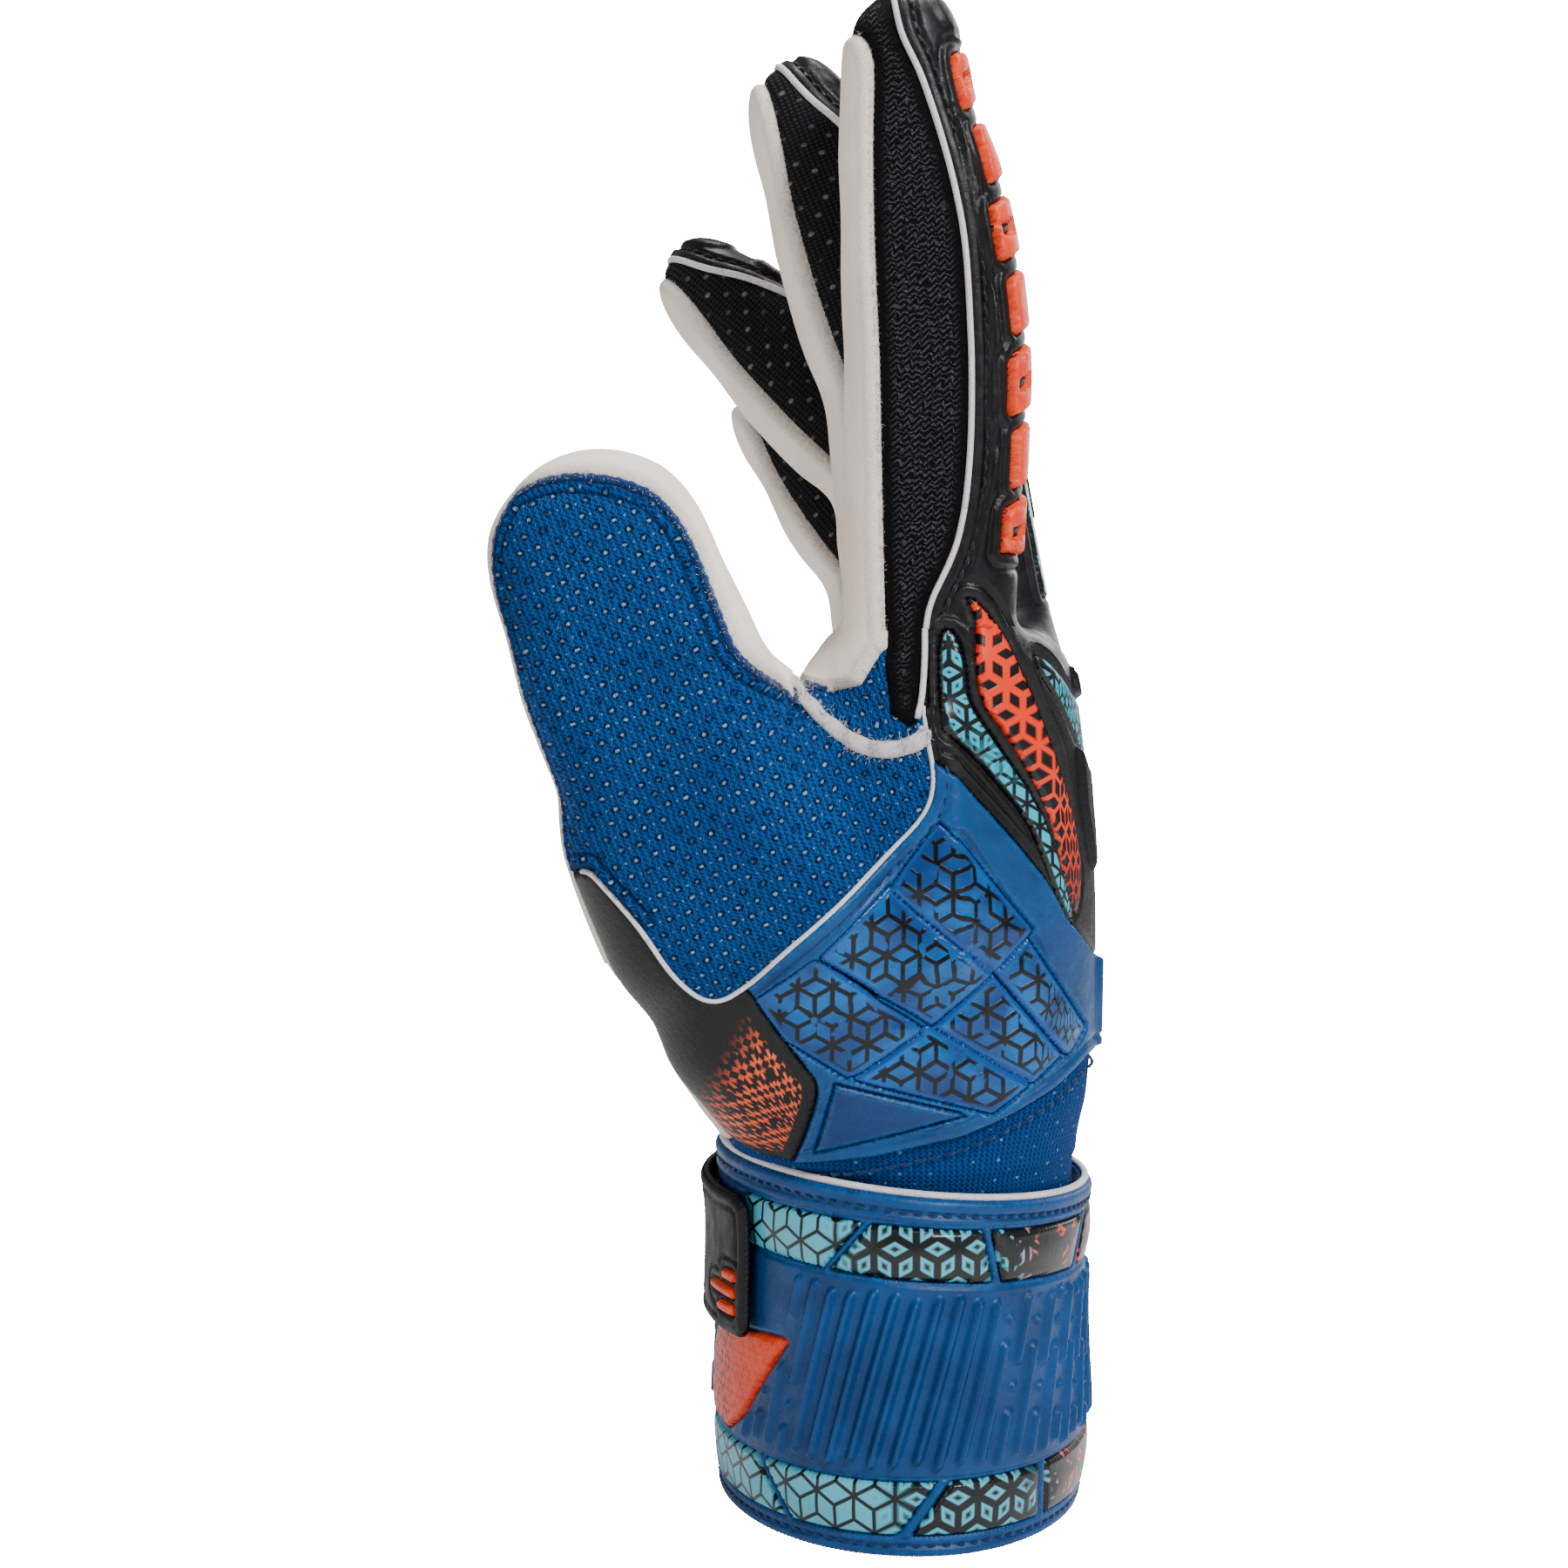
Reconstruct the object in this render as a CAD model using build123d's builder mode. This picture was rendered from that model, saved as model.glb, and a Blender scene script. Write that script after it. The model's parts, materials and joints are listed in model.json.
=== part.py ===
"""A right-hand goalkeeper glove, standing on its cuff.

Millimetres and degrees. +Z runs from the cuff to the fingertips, +X is the back of the hand, -X the palm,
-Y the thumb side and +Y the little-finger side. The origin is the centre of the wrist opening, on the cuff's rim.

Every digit is a hollow sleeve of flat panels: a latex front, a knitted gusset and a moulded back. Each sleeve is in
two lengths, lower and upper, which hinge at the knuckle and at the middle joint. The glove's own foam and latex
stretch across those joints; here the lengths stand apart by the wedge that the joint needs to bend.
"""

import os
from math import cos, radians, sin, tan

from build123d import *

# ---- Cuff and wrist
CUFF_HEIGHT = 58.0
CUFF_DEPTH = 66.0
CUFF_WIDTH = 92.0
BAND_WALL = 3.5
KNIT_WALL = 1.8
KNIT_FOOT = 2.0
HAND_FOOT = 64.0
PIPING_HEIGHT = 1.4
PIPING_WALL = 2.2
INLAY_PROUD = 1.0

# ---- Closure tab on the palm side of the cuff
TAB_LOW = 32.0
TAB_HIGH = 56.0
TAB_HALF_REACH = 24.0
TAB_WALL = 2.2
TAB_BASE_REACH = 40.0
PATCH_WALL = 0.8
PATCH_MARGIN = 3.0
TAB_GAP = 0.35

# ---- Hand: (height, palm x, back x, thumb-side y, little-finger-side y) of each outer section
HAND_SECTIONS = (
    (HAND_FOOT, -30.5, 30.5, -42.0, 42.0),
    (88.0, -31.0, 34.0, -46.0, 45.5),
    (112.0, -27.0, 35.0, -49.5, 48.0),
    (136.0, -21.0, 32.5, -50.5, 49.0),
    (162.0, -15.0, 26.0, -50.0, 49.0),
)
HAND_CORNER = 19.0
HAND_WALL = 4.6
LINING_WALL = 1.0
HAND_TOP = HAND_SECTIONS[-1][0]

# ---- Digits
PIVOT_SHARE = 0.35  # of the sleeve's depth, from the palm face to the joint's axis
FRONT_WALL = 6.0
BACK_WALL = 4.6
SIDE_WALL = 2.6
TIP_WALL = 6.0
TIP_TAPER = 11.0
TIP_END = 3.0
SLEEVE_CORNER = 8.5
CAVITY_CORNER = 2.5
JOINT_GAP = 0.5
CUT_MARGIN = 3.0

KNUCKLE_FLEX = 45.0
KNUCKLE_BACK = 10.0
MIDDLE_FLEX = 55.0
MIDDLE_BACK = 5.0

# Each digit: its knuckle's axis point, how far it splays to the thumb side, how far its lower and upper lengths lean
# to the palm, those two lengths, and the sleeve's depth and width at the knuckle, at the middle joint and at the tip.
FINGERS = {
    "index": dict(knuckle=(0, -37, 150), splay=3, leans=(1, 3), lengths=(48, 62), depths=(33, 31, 23), widths=(24, 23.5, 20.5)),
    "middle": dict(knuckle=(4, -12, 153), splay=1, leans=(8, 21.5), lengths=(47.5, 60), depths=(33, 31, 23), widths=(24, 23.5, 20.5)),
    "ring": dict(knuckle=(5, 13, 150), splay=-1.5, leans=(10, 48), lengths=(39, 57), depths=(32, 29, 23), widths=(24, 23.5, 20.5)),
    "little": dict(knuckle=(3, 36.5, 142), splay=-5, leans=(11.5, 38), lengths=(31, 44), depths=(29, 26, 21), widths=(21, 20.5, 18)),
}

# The thumb leans to the palm and to the thumb side; its back faces -Y.
THUMB_KNUCKLE = (-34.0, -43.0, 117.0)
THUMB_LEAN = 20.5
THUMB_OUT = 10.0
THUMB_LENGTHS = (29.0, 38.0)
THUMB_DEPTHS = (29.0, 27.0, 22.0)
THUMB_WIDTHS = (37.0, 36.0, 28.0)
THUMB_FLEX = 35.0
THUMB_BACK = 20.0
THUMB_TIP_FLEX = 45.0
THUMB_CORNER = 10.0
THUMB_ROOT = (-15.0, -25.0, 74.0)
THUMB_ROOT_DEPTH = 34.0
THUMB_ROOT_WIDTH = 42.0

# ---- Where the hand's panels meet. Outlines are (x, z) points, seen from the thumb side.
PALM_EDGE = -10.0
BACK_EDGE = 10.0
PALM_SEAM_FOOT = (-30.0, -24.0, 64.0)
LINING_FOOT = 66.0
LINING_TOP = 122.0
MESH_OUTLINE = (
    (0.5, 165), (0.5, 142), (2.3, 128), (0.2, 122), (-6, 115.5), (-13, 108.5), (-22, 101), (-28, 95.3),
    (-33, 93), (-39, 97), (-45, 106), (-52, 114), (-75, 120), (-75, 165),
)
THUMB_GUSSET_OUTLINE = (
    (-28, 95.3), (-33, 93), (-39, 97), (-45, 106), (-52, 114), (-75, 120), (-75, 60), (-20, 60), (-18, 71), (-16, 78.5), (-19, 83),
)
BACK_PLATE_OUTLINE = ((-40, 50), (60, 50), (60, 99), (25, 105), (21, 112), (11, 123.5), (4, 130.5), (1, 132), (-40, 132))

# ---- Moulded inlays on the hand, (x, z) points seen from the thumb side
SKIN_PROUD = 1.2
HAND_INLAYS = {
    "backhand_cells": (
        ((3.2, 118.8), (16.2, 103.1), (11.7, 98.6), (-2.8, 110.7)),
        ((-4.6, 109.5), (9.7, 96.5), (1.9, 89.7), (-14.1, 100.4)),
        ((-17.1, 98.2), (-1.7, 87.6), (-11.0, 81.4), (-18.5, 85.5), (-25.5, 92.0)),
        ((15.9, 101.3), (12.6, 97.7), (24.7, 84.5), (25.6, 86.7)),
        ((10.9, 94.9), (20.9, 82.5), (18.1, 79.8), (4.0, 88.8)),
        ((1.3, 86.3), (15.7, 78.0), (11.7, 74.9), (-8.3, 80.2)),
    ),
    "arrow_panel": (((-13.5, 79.2), (8.7, 73.3), (-15.5, 67.0)),),
    "cyan_inlays": (
        ((3.5, 145), (3.2, 134.8), (6.6, 133.4), (18, 120.6), (24.8, 105.5), (26.5, 108), (19.5, 122.7), (10.8, 134.8), (7.5, 145)),
        ((20.4, 146), (25.6, 137), (25.9, 130.6), (23.2, 134.8)),
    ),
    "coral_inlay": (((9.4, 146), (18, 146), (21.7, 134.8), (25.5, 120.5), (26, 112), (21.5, 121.5), (14, 133)),),
}
CHEVRONS_PER_LENGTH = 3
CHEVRON_SPAN = (9.5, 18.5)
CHEVRON_RISE = 3.0
CHEVRON_THICK = 7.0

# ---- Relief on the cuff
UPPER_INLAY_LOW = 47.0
UPPER_INLAY_HIGH = 56.0
LOWER_INLAY_LOW = 3.0
LOWER_INLAY_HIGH = 12.0
ARROW_LOW = 15.0
ARROW_HIGH = 29.0
ARROW_POINT = -32.0
ARROW_END = 6.0
LABEL_LOW = 12.0
LABEL_HEIGHT = 20.0
LABEL_WIDTH = 14.0
LABEL_WALL = 0.8


def turned(direction, axis, angle):
    """The direction turned about an axis through the origin, in degrees by the right-hand rule."""
    return Vector(*direction).rotate(Axis((0, 0, 0), axis), angle)


def finger_frame(digit, lean):
    """The plane across a finger's sleeve: its x runs to the back of the finger, its y to the little-finger side."""
    splay, knuckle = digit["splay"], digit["knuckle"]
    side = turned((0, 1, 0), (1, 0, 0), splay)
    up = turned((0, 0, 1), (1, 0, 0), splay)
    distal = turned(up, tuple(side), -lean)
    return Plane(origin=knuckle, x_dir=side.cross(distal), z_dir=distal)


def moved_along(frame, distance):
    """The frame carried along its own axis."""
    return Plane(origin=frame.origin + frame.z_dir * distance, x_dir=frame.x_dir, z_dir=frame.z_dir)


def side_plane(frame):
    """The plane that holds the sleeve's axis and its back: sketch x is the frame's x and sketch y its z."""
    return Plane(origin=frame.origin, x_dir=frame.x_dir, z_dir=-frame.y_dir)


def between(start, end, share):
    return start + (end - start) * share


def lofted(frame, stations, corner):
    """The solid through rounded sections across the frame: each is (height, depth, width, shift to the back)."""
    with BuildPart() as solid:
        for height, depth, width, shift in stations:
            with BuildSketch(frame.offset(height)):
                with Locations((shift, 0)):
                    RectangleRounded(depth, width, min(corner, 0.49 * depth, 0.49 * width))
        loft(ruled=True)
    return solid.part


def centre_shift(depth):
    """How far a sleeve's centre stands from its joint line, to the back."""
    return (0.5 - PIVOT_SHARE) * depth


def sleeve(frame, length, depths, widths, corner, walls, closed):
    """One length of a digit's sleeve, before its ends are cut. walls are (front, back, side)."""
    front, back, side = walls
    reach = 16.0

    def station(height, trim=0.0):
        share = height / length
        depth, width = between(*depths, share), between(*widths, share)
        return (height, depth - trim, width - trim, centre_shift(depth))

    def cavity(height):
        share = height / length
        depth, width = between(*depths, share), between(*widths, share)
        return (height, depth - front - back, width - 2 * side, centre_shift(depth) + (front - back) / 2)

    if closed:
        outer = [station(-reach), station(length - TIP_TAPER), station(length - TIP_END, 4.0), station(length, 10.0)]
        inner = [cavity(-reach - 1), cavity(length - TIP_WALL - TIP_END)]
    else:
        outer = [station(-reach), station(length + reach)]
        inner = [cavity(-reach - 1), cavity(length + reach + 1)]
    with BuildPart() as length_of_sleeve:
        add(lofted(frame, outer, corner))
        add(lofted(frame, inner, CAVITY_CORNER), mode=Mode.SUBTRACT)
    return length_of_sleeve.part


def ends_outline(length, depths, low, high, closed):
    """What stays of a sleeve once its ends have room to bend, on its side plane.

    low and high are (palm slope, back slope) of the cuts at the two joints, in degrees.
    """
    palm = PIVOT_SHARE * max(depths) + CUT_MARGIN
    back = (1 - PIVOT_SHARE) * max(depths) + CUT_MARGIN
    foot = [
        (-palm, JOINT_GAP + palm * tan(radians(low[0]))),
        (0, JOINT_GAP),
        (back, JOINT_GAP - back * tan(radians(low[1]))),
    ]
    if closed:
        return foot + [(back, length + 5), (-palm, length + 5)]
    top = [
        (back, length - JOINT_GAP + back * tan(radians(high[1]))),
        (0, length - JOINT_GAP),
        (-palm, length - JOINT_GAP - palm * tan(radians(high[0]))),
    ]
    return foot + top


def wall_line(length, depths, wall, face):
    """The inner face of the front (-1) or back (+1) wall on the side plane, as its two ends."""
    ends = []
    for height in (-20.0, length + 20.0):
        depth = between(*depths, height / length)
        ends.append((centre_shift(depth) + face * (depth / 2 - wall), height))
    return ends


def panel(whole, frame, points, reach=60):
    """The part of a sleeve or shell that lies inside an outline on the frame's side plane."""
    with BuildPart() as piece:
        add(whole)
        with BuildSketch(side_plane(frame)):
            with BuildLine():
                Polyline(*points, close=True)
            make_face()
        extrude(amount=reach, both=True, mode=Mode.INTERSECT)
    return piece.part


def finger_panels(frame, length, depths, widths, cuts, closed):
    """The front, back and gusset of one length of a finger."""
    whole = sleeve(frame, length, depths, widths, SLEEVE_CORNER, (FRONT_WALL, BACK_WALL, SIDE_WALL), closed)
    trimmed = panel(whole, frame, ends_outline(length, depths, *cuts, closed))
    front_low, front_high = wall_line(length, depths, FRONT_WALL, -1)
    back_low, back_high = wall_line(length, depths, BACK_WALL, 1)
    far = 60.0
    return {
        "front": panel(trimmed, frame, [(-far, -far), (front_low[0], -far), front_low, front_high, (front_high[0], 2 * far), (-far, 2 * far)]),
        "gusset": panel(trimmed, frame, [front_low, back_low, back_high, front_high]),
        "back": panel(trimmed, frame, [(far, -far), (back_low[0], -far), back_low, back_high, (back_high[0], 2 * far), (far, 2 * far)]),
    }


def slopes(bend, flex, back):
    """(palm, back) slopes of the cuts at a joint that is already bent by bend and turns flex more one way, back the other."""
    return (bend / 2 + flex / 2, bend / 2 - back / 2)


# ---- Fingers
pieces = {}
knuckle_clearances = []
index_frames = None
for name, digit in FINGERS.items():
    lower_lean, upper_lean = digit["leans"]
    lower_length, upper_length = digit["lengths"]
    depths, widths = digit["depths"], digit["widths"]
    knuckle_slopes = slopes(lower_lean, KNUCKLE_FLEX, KNUCKLE_BACK)
    middle_slopes = slopes(upper_lean - lower_lean, MIDDLE_FLEX, MIDDLE_BACK)
    lower = finger_frame(digit, lower_lean)
    upper = moved_along(lower, lower_length)
    upper = Plane(origin=upper.origin, x_dir=finger_frame(digit, upper_lean).x_dir, z_dir=finger_frame(digit, upper_lean).z_dir)
    for label, frame, length, part_depths, part_widths, cuts, closed in (
        ("lower", lower, lower_length, depths[:2], widths[:2], (knuckle_slopes, middle_slopes), False),
        ("upper", upper, upper_length, depths[1:], widths[1:], (middle_slopes, None), True),
    ):
        for kind, solid in finger_panels(frame, length, part_depths, part_widths, cuts, closed).items():
            pieces[f"{name}_{label}_{kind}"] = solid
    outermost = name in ("index", "little")
    knuckle_clearances.append((finger_frame(digit, 0), knuckle_slopes, 16.0 if outermost else widths[0] / 2 + 1.5))
    index_frames = index_frames or (lower, upper)
    print(name, "middle joint at", tuple(round(v, 2) for v in upper.origin), "side", tuple(round(v, 4) for v in upper.y_dir))

# ---- Thumb: two padded halves, sewn edge to edge, on each length
thumb_side = turned((1, 0, 0), (0, 1, 0), -THUMB_LEAN)
thumb_up = turned(turned((0, 0, 1), (0, 1, 0), -THUMB_LEAN), tuple(thumb_side), THUMB_OUT)
thumb_lower = Plane(origin=THUMB_KNUCKLE, x_dir=thumb_side.cross(thumb_up), z_dir=thumb_up)
thumb_upper = moved_along(thumb_lower, THUMB_LENGTHS[0])
thumb_walls = (FRONT_WALL, SIDE_WALL, SIDE_WALL)
thumb_low_cuts = slopes(0, THUMB_FLEX, THUMB_BACK)
thumb_high_cuts = slopes(0, THUMB_TIP_FLEX, MIDDLE_BACK)
far = 60.0
for label, frame, length, depths, widths, cuts, closed in (
    ("lower", thumb_lower, THUMB_LENGTHS[0], THUMB_DEPTHS[:2], THUMB_WIDTHS[:2], (thumb_low_cuts, thumb_high_cuts), False),
    ("upper", thumb_upper, THUMB_LENGTHS[1], THUMB_DEPTHS[1:], THUMB_WIDTHS[1:], (thumb_high_cuts, None), True),
):
    whole = sleeve(frame, length, depths, widths, THUMB_CORNER, thumb_walls, closed)
    trimmed = panel(whole, frame, ends_outline(length, depths, *cuts, closed))
    seam = centre_shift(min(depths))
    pieces[f"thumb_{label}_front"] = panel(trimmed, frame, [(-far, -far), (seam, -far), (seam, 2 * far), (-far, 2 * far)])
    pieces[f"thumb_{label}_back"] = panel(trimmed, frame, [(far, -far), (seam, -far), (seam, 2 * far), (far, 2 * far)])
print("thumb axis", tuple(round(v, 4) for v in thumb_lower.y_dir), "tip joint", tuple(round(v, 2) for v in thumb_upper.origin))


# ---- Hand shell
def hand_volume(inset):
    """The hand's outer form, drawn in by inset all round."""
    with BuildPart() as volume:
        for height, palm, back, thumb, little in HAND_SECTIONS:
            with BuildSketch(Plane.XY.offset(height)):
                with Locations(((palm + back) / 2, (thumb + little) / 2)):
                    RectangleRounded(back - palm - 2 * inset, little - thumb - 2 * inset, HAND_CORNER - inset)
        loft(ruled=True)
    return volume.part


def thumb_root_volume(inset, rise):
    """The ball of the thumb, from inside the palm to just past the thumb's knuckle."""
    root = Plane(origin=THUMB_ROOT, x_dir=thumb_lower.x_dir, z_dir=Vector(*THUMB_KNUCKLE) - Vector(*THUMB_ROOT))
    shift = centre_shift(THUMB_DEPTHS[0])
    with BuildPart() as volume:
        with BuildSketch(root.offset(-rise)):
            RectangleRounded(THUMB_ROOT_DEPTH - 2 * inset, THUMB_ROOT_WIDTH - 2 * inset, 14.0 - inset)
        with BuildSketch(thumb_lower.offset(rise)):
            with Locations((shift, 0)):
                RectangleRounded(THUMB_DEPTHS[0] - 2 * inset, THUMB_WIDTHS[0] - 2 * inset, THUMB_CORNER - inset)
        loft(ruled=True)
    return volume.part


def clearance(frame, joint_slopes, half_width, reach=45.0):
    """The space above a joint's lower cut, which the hand leaves for a digit to bend in."""
    palm, back = (radians(slope) for slope in joint_slopes)
    with BuildPart() as space:
        with BuildSketch(side_plane(frame)):
            with BuildLine():
                Polyline(
                    (-reach, -JOINT_GAP - reach * tan(palm)),
                    (0, -JOINT_GAP),
                    (reach, -JOINT_GAP + reach * tan(back)),
                    (reach, 2 * reach),
                    (-reach, 2 * reach),
                    close=True,
                )
            make_face()
        extrude(amount=half_width, both=True)
    return space.part


def half(whole, plane, keep=Keep.TOP):
    """The part of a solid on one side of a plane."""
    with BuildPart() as piece:
        add(whole)
        split(bisect_by=plane, keep=keep)
    return piece.part


def thumb_side_outline(whole, points):
    """The part of a solid on the thumb's side of the hand that lies inside an outline of (x, z) points."""
    with BuildPart() as piece:
        add(whole)
        with BuildSketch(Plane.XZ):
            with BuildLine():
                Polyline(*points, close=True)
            make_face()
        extrude(amount=100, mode=Mode.INTERSECT)
    return piece.part


def thumb_side_cut(whole, points):
    """What is left of a solid outside such an outline."""
    with BuildPart() as piece:
        add(whole)
        with BuildSketch(Plane.XZ):
            with BuildLine():
                Polyline(*points, close=True)
            make_face()
        extrude(amount=100, mode=Mode.SUBTRACT)
    return piece.part


hand_outer = hand_volume(0)
hand_inner = hand_volume(HAND_WALL)
thumb_outer = thumb_root_volume(0, 6.0)
thumb_inner = thumb_root_volume(HAND_WALL - 1.0, 7.0)

with BuildPart() as knuckle_spaces:
    for frame, joint_slopes, reach_out in knuckle_clearances:
        add(clearance(frame, joint_slopes, reach_out))
    add(clearance(thumb_lower, thumb_low_cuts, 24.0, reach=24.0))

with BuildPart() as hand_shell:
    add(hand_outer)
    add(thumb_outer)
    split(bisect_by=Plane.XY.offset(HAND_FOOT), keep=Keep.TOP)
    add(hand_inner, mode=Mode.SUBTRACT)
    add(thumb_inner, mode=Mode.SUBTRACT)
    add(knuckle_spaces.part, mode=Mode.SUBTRACT)

# The latex palm ends at a seam through the middle of the thumb, which runs down to the wrist.
seam_top = thumb_lower.origin + thumb_lower.x_dir * centre_shift(min(THUMB_DEPTHS))
seam_foot = Vector(*PALM_SEAM_FOOT)
seam_across = thumb_lower.y_dir
thumb_seam = Plane(origin=seam_top, x_dir=seam_across, z_dir=seam_across.cross(seam_foot - seam_top))
palm_edge = Plane(origin=(PALM_EDGE, 0, 0), z_dir=(1, 0, 0))
back_edge = Plane(origin=(BACK_EDGE, 0, 0), z_dir=(1, 0, 0))
sole = half(hand_shell.part, palm_edge, Keep.BOTTOM)
pieces["palm_latex"] = half(sole, thumb_seam)
with BuildPart() as uppers:
    add(hand_shell.part)
    add(pieces["palm_latex"], mode=Mode.SUBTRACT)
thumb_half = half(uppers.part, Plane.XZ)
little_half = half(uppers.part, Plane.XZ, Keep.BOTTOM)
pieces["thumb_side_mesh"] = thumb_side_outline(thumb_half, MESH_OUTLINE)
pieces["thumb_base_gusset"] = thumb_side_outline(thumb_half, THUMB_GUSSET_OUTLINE)
thumb_upper_back = thumb_side_cut(thumb_side_cut(thumb_half, MESH_OUTLINE), THUMB_GUSSET_OUTLINE)
pieces["little_side_gusset"] = half(little_half, back_edge, Keep.BOTTOM)
with BuildPart() as back_of_hand:
    add(thumb_upper_back)
    add(half(little_half, back_edge))
with BuildPart() as backhand_lower:
    add(back_of_hand.part)
    with BuildSketch(Plane.XZ):
        with BuildLine():
            Polyline(*BACK_PLATE_OUTLINE, close=True)
        make_face()
    extrude(amount=100, both=True, mode=Mode.INTERSECT)
pieces["backhand_lower"] = backhand_lower.part
with BuildPart() as backhand_upper:
    add(back_of_hand.part)
    add(backhand_lower.part, mode=Mode.SUBTRACT)
pieces["backhand_upper"] = backhand_upper.part

# A thin knitted lining inside the hand, open to the thumb.
with BuildPart() as hand_lining:
    add(hand_inner)
    add(hand_volume(HAND_WALL + LINING_WALL), mode=Mode.SUBTRACT)
    add(thumb_outer, mode=Mode.SUBTRACT)
    split(bisect_by=Plane.XY.offset(LINING_FOOT), keep=Keep.TOP)
    split(bisect_by=Plane.XY.offset(LINING_TOP), keep=Keep.BOTTOM)
pieces["hand_lining"] = hand_lining.part

# ---- Moulded inlays that stand out of the hand
with BuildPart() as hand_skin:
    add(hand_volume(-SKIN_PROUD))
    add(thumb_root_volume(-SKIN_PROUD, 6.0))
    add(hand_outer, mode=Mode.SUBTRACT)
    add(thumb_outer, mode=Mode.SUBTRACT)
    add(knuckle_spaces.part, mode=Mode.SUBTRACT)
for name, outlines in HAND_INLAYS.items():
    with BuildPart() as inlay:
        for outline in outlines:
            add(thumb_side_outline(hand_skin.part, outline))
    pieces[name] = inlay.part


# ---- Chevrons down the back of the index finger
def chevron_outlines(length, foot, head):
    """Evenly spaced chevrons on the sleeve's side plane, pointing to the fingertip."""
    pitch = (head - foot) / CHEVRONS_PER_LENGTH
    near, far_edge = CHEVRON_SPAN
    middle = (near + far_edge) / 2
    for number in range(CHEVRONS_PER_LENGTH):
        low = foot + number * pitch
        yield [
            (near, low),
            (middle, low + CHEVRON_RISE),
            (far_edge, low),
            (far_edge, low + CHEVRON_THICK),
            (middle, low + CHEVRON_THICK + CHEVRON_RISE),
            (near, low + CHEVRON_THICK),
        ]


index = FINGERS["index"]
for label, frame, length, depths, widths, foot, head in (
    ("lower", index_frames[0], index["lengths"][0], index["depths"][:2], index["widths"][:2], 8.0, 44.0),
    ("upper", index_frames[1], index["lengths"][1], index["depths"][1:], index["widths"][1:], 5.0, 47.0),
):
    span = (-5.0, length - TIP_TAPER)

    def ring(height, grow):
        share = height / length
        depth, width = between(*depths, share), between(*widths, share)
        return (height, depth + 2 * grow, width + 2 * grow, centre_shift(depth))

    with BuildPart() as proud:
        add(lofted(frame, [ring(height, SKIN_PROUD) for height in span], SLEEVE_CORNER + SKIN_PROUD))
        add(lofted(frame, [ring(height, 0) for height in span], SLEEVE_CORNER), mode=Mode.SUBTRACT)
    rows = []
    for outline in chevron_outlines(length, foot, head):
        rows.append(panel(proud.part, frame, outline))
    with BuildPart() as chevrons:
        for row in rows:
            add(row)
    pieces[f"index_{label}_chevrons"] = chevrons.part


# ---- Cuff
def cuff_ring(low, high, outer, wall):
    """An elliptical ring whose outer face stands outer beyond the band's."""
    with BuildPart() as band:
        with BuildSketch(Plane.XY.offset(low)):
            Ellipse(CUFF_DEPTH / 2 + outer, CUFF_WIDTH / 2 + outer)
            Ellipse(CUFF_DEPTH / 2 + outer - wall, CUFF_WIDTH / 2 + outer - wall, mode=Mode.SUBTRACT)
        extrude(amount=high - low)
    return band.part


def palm_arc(low, high, near, far_edge, outer, wall, rounded=0.0):
    """The piece of such a ring on the palm side between two y values, with a rounded end at near."""
    with BuildPart() as arc:
        add(cuff_ring(low, high, outer, wall))
        with BuildSketch(Plane.YZ):
            with Locations(((near + far_edge) / 2, (low + high) / 2)):
                outline = Rectangle(far_edge - near, high - low)
            if rounded:
                fillet(outline.vertices().group_by(Axis.X)[0], rounded)
        extrude(amount=-100, mode=Mode.INTERSECT)
    return arc.part


pieces["cuff_band"] = cuff_ring(0, CUFF_HEIGHT, 0, BAND_WALL)
pieces["wrist_elastic"] = cuff_ring(KNIT_FOOT, HAND_FOOT, -BAND_WALL, KNIT_WALL)
pieces["cuff_piping"] = cuff_ring(CUFF_HEIGHT, CUFF_HEIGHT + PIPING_HEIGHT, 0, PIPING_WALL)

# The closure tab: loop patch on the band, hook patch and tab above it, tab's root beside it.
hook_outer = PATCH_WALL + TAB_GAP + PATCH_WALL
tab_outer = hook_outer + TAB_WALL
patch_low, patch_high = TAB_LOW + PATCH_MARGIN, TAB_HIGH - PATCH_MARGIN
patch_near, patch_far = PATCH_MARGIN - TAB_HALF_REACH, TAB_HALF_REACH - 2 * PATCH_MARGIN
pieces["loop_patch"] = palm_arc(patch_low, patch_high, patch_near, patch_far, PATCH_WALL, PATCH_WALL, 4.0)
pieces["hook_patch"] = palm_arc(patch_low, patch_high, patch_near, patch_far, hook_outer, PATCH_WALL, 4.0)
pieces["closure_flap"] = palm_arc(TAB_LOW, TAB_HIGH, -TAB_HALF_REACH, TAB_HALF_REACH, tab_outer, TAB_WALL, 9.0)
pieces["strap_base"] = palm_arc(TAB_LOW, TAB_HIGH, TAB_HALF_REACH + 0.8, TAB_BASE_REACH, tab_outer - 1.0, tab_outer - 1.0)

# Printed bands in relief near the cuff's two edges, which stop short of the tab.
with BuildPart() as upper_inlays:
    add(cuff_ring(UPPER_INLAY_LOW, UPPER_INLAY_HIGH, INLAY_PROUD, INLAY_PROUD))
    with BuildSketch(Plane.YZ):
        with Locations(((TAB_BASE_REACH - TAB_HALF_REACH) / 2, CUFF_HEIGHT / 2)):
            Rectangle(TAB_BASE_REACH + TAB_HALF_REACH + 6, CUFF_HEIGHT)
    extrude(amount=-100, mode=Mode.SUBTRACT)
pieces["cuff_upper_inlays"] = upper_inlays.part
pieces["cuff_lower_inlays"] = cuff_ring(LOWER_INLAY_LOW, LOWER_INLAY_HIGH, INLAY_PROUD, INLAY_PROUD)

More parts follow.
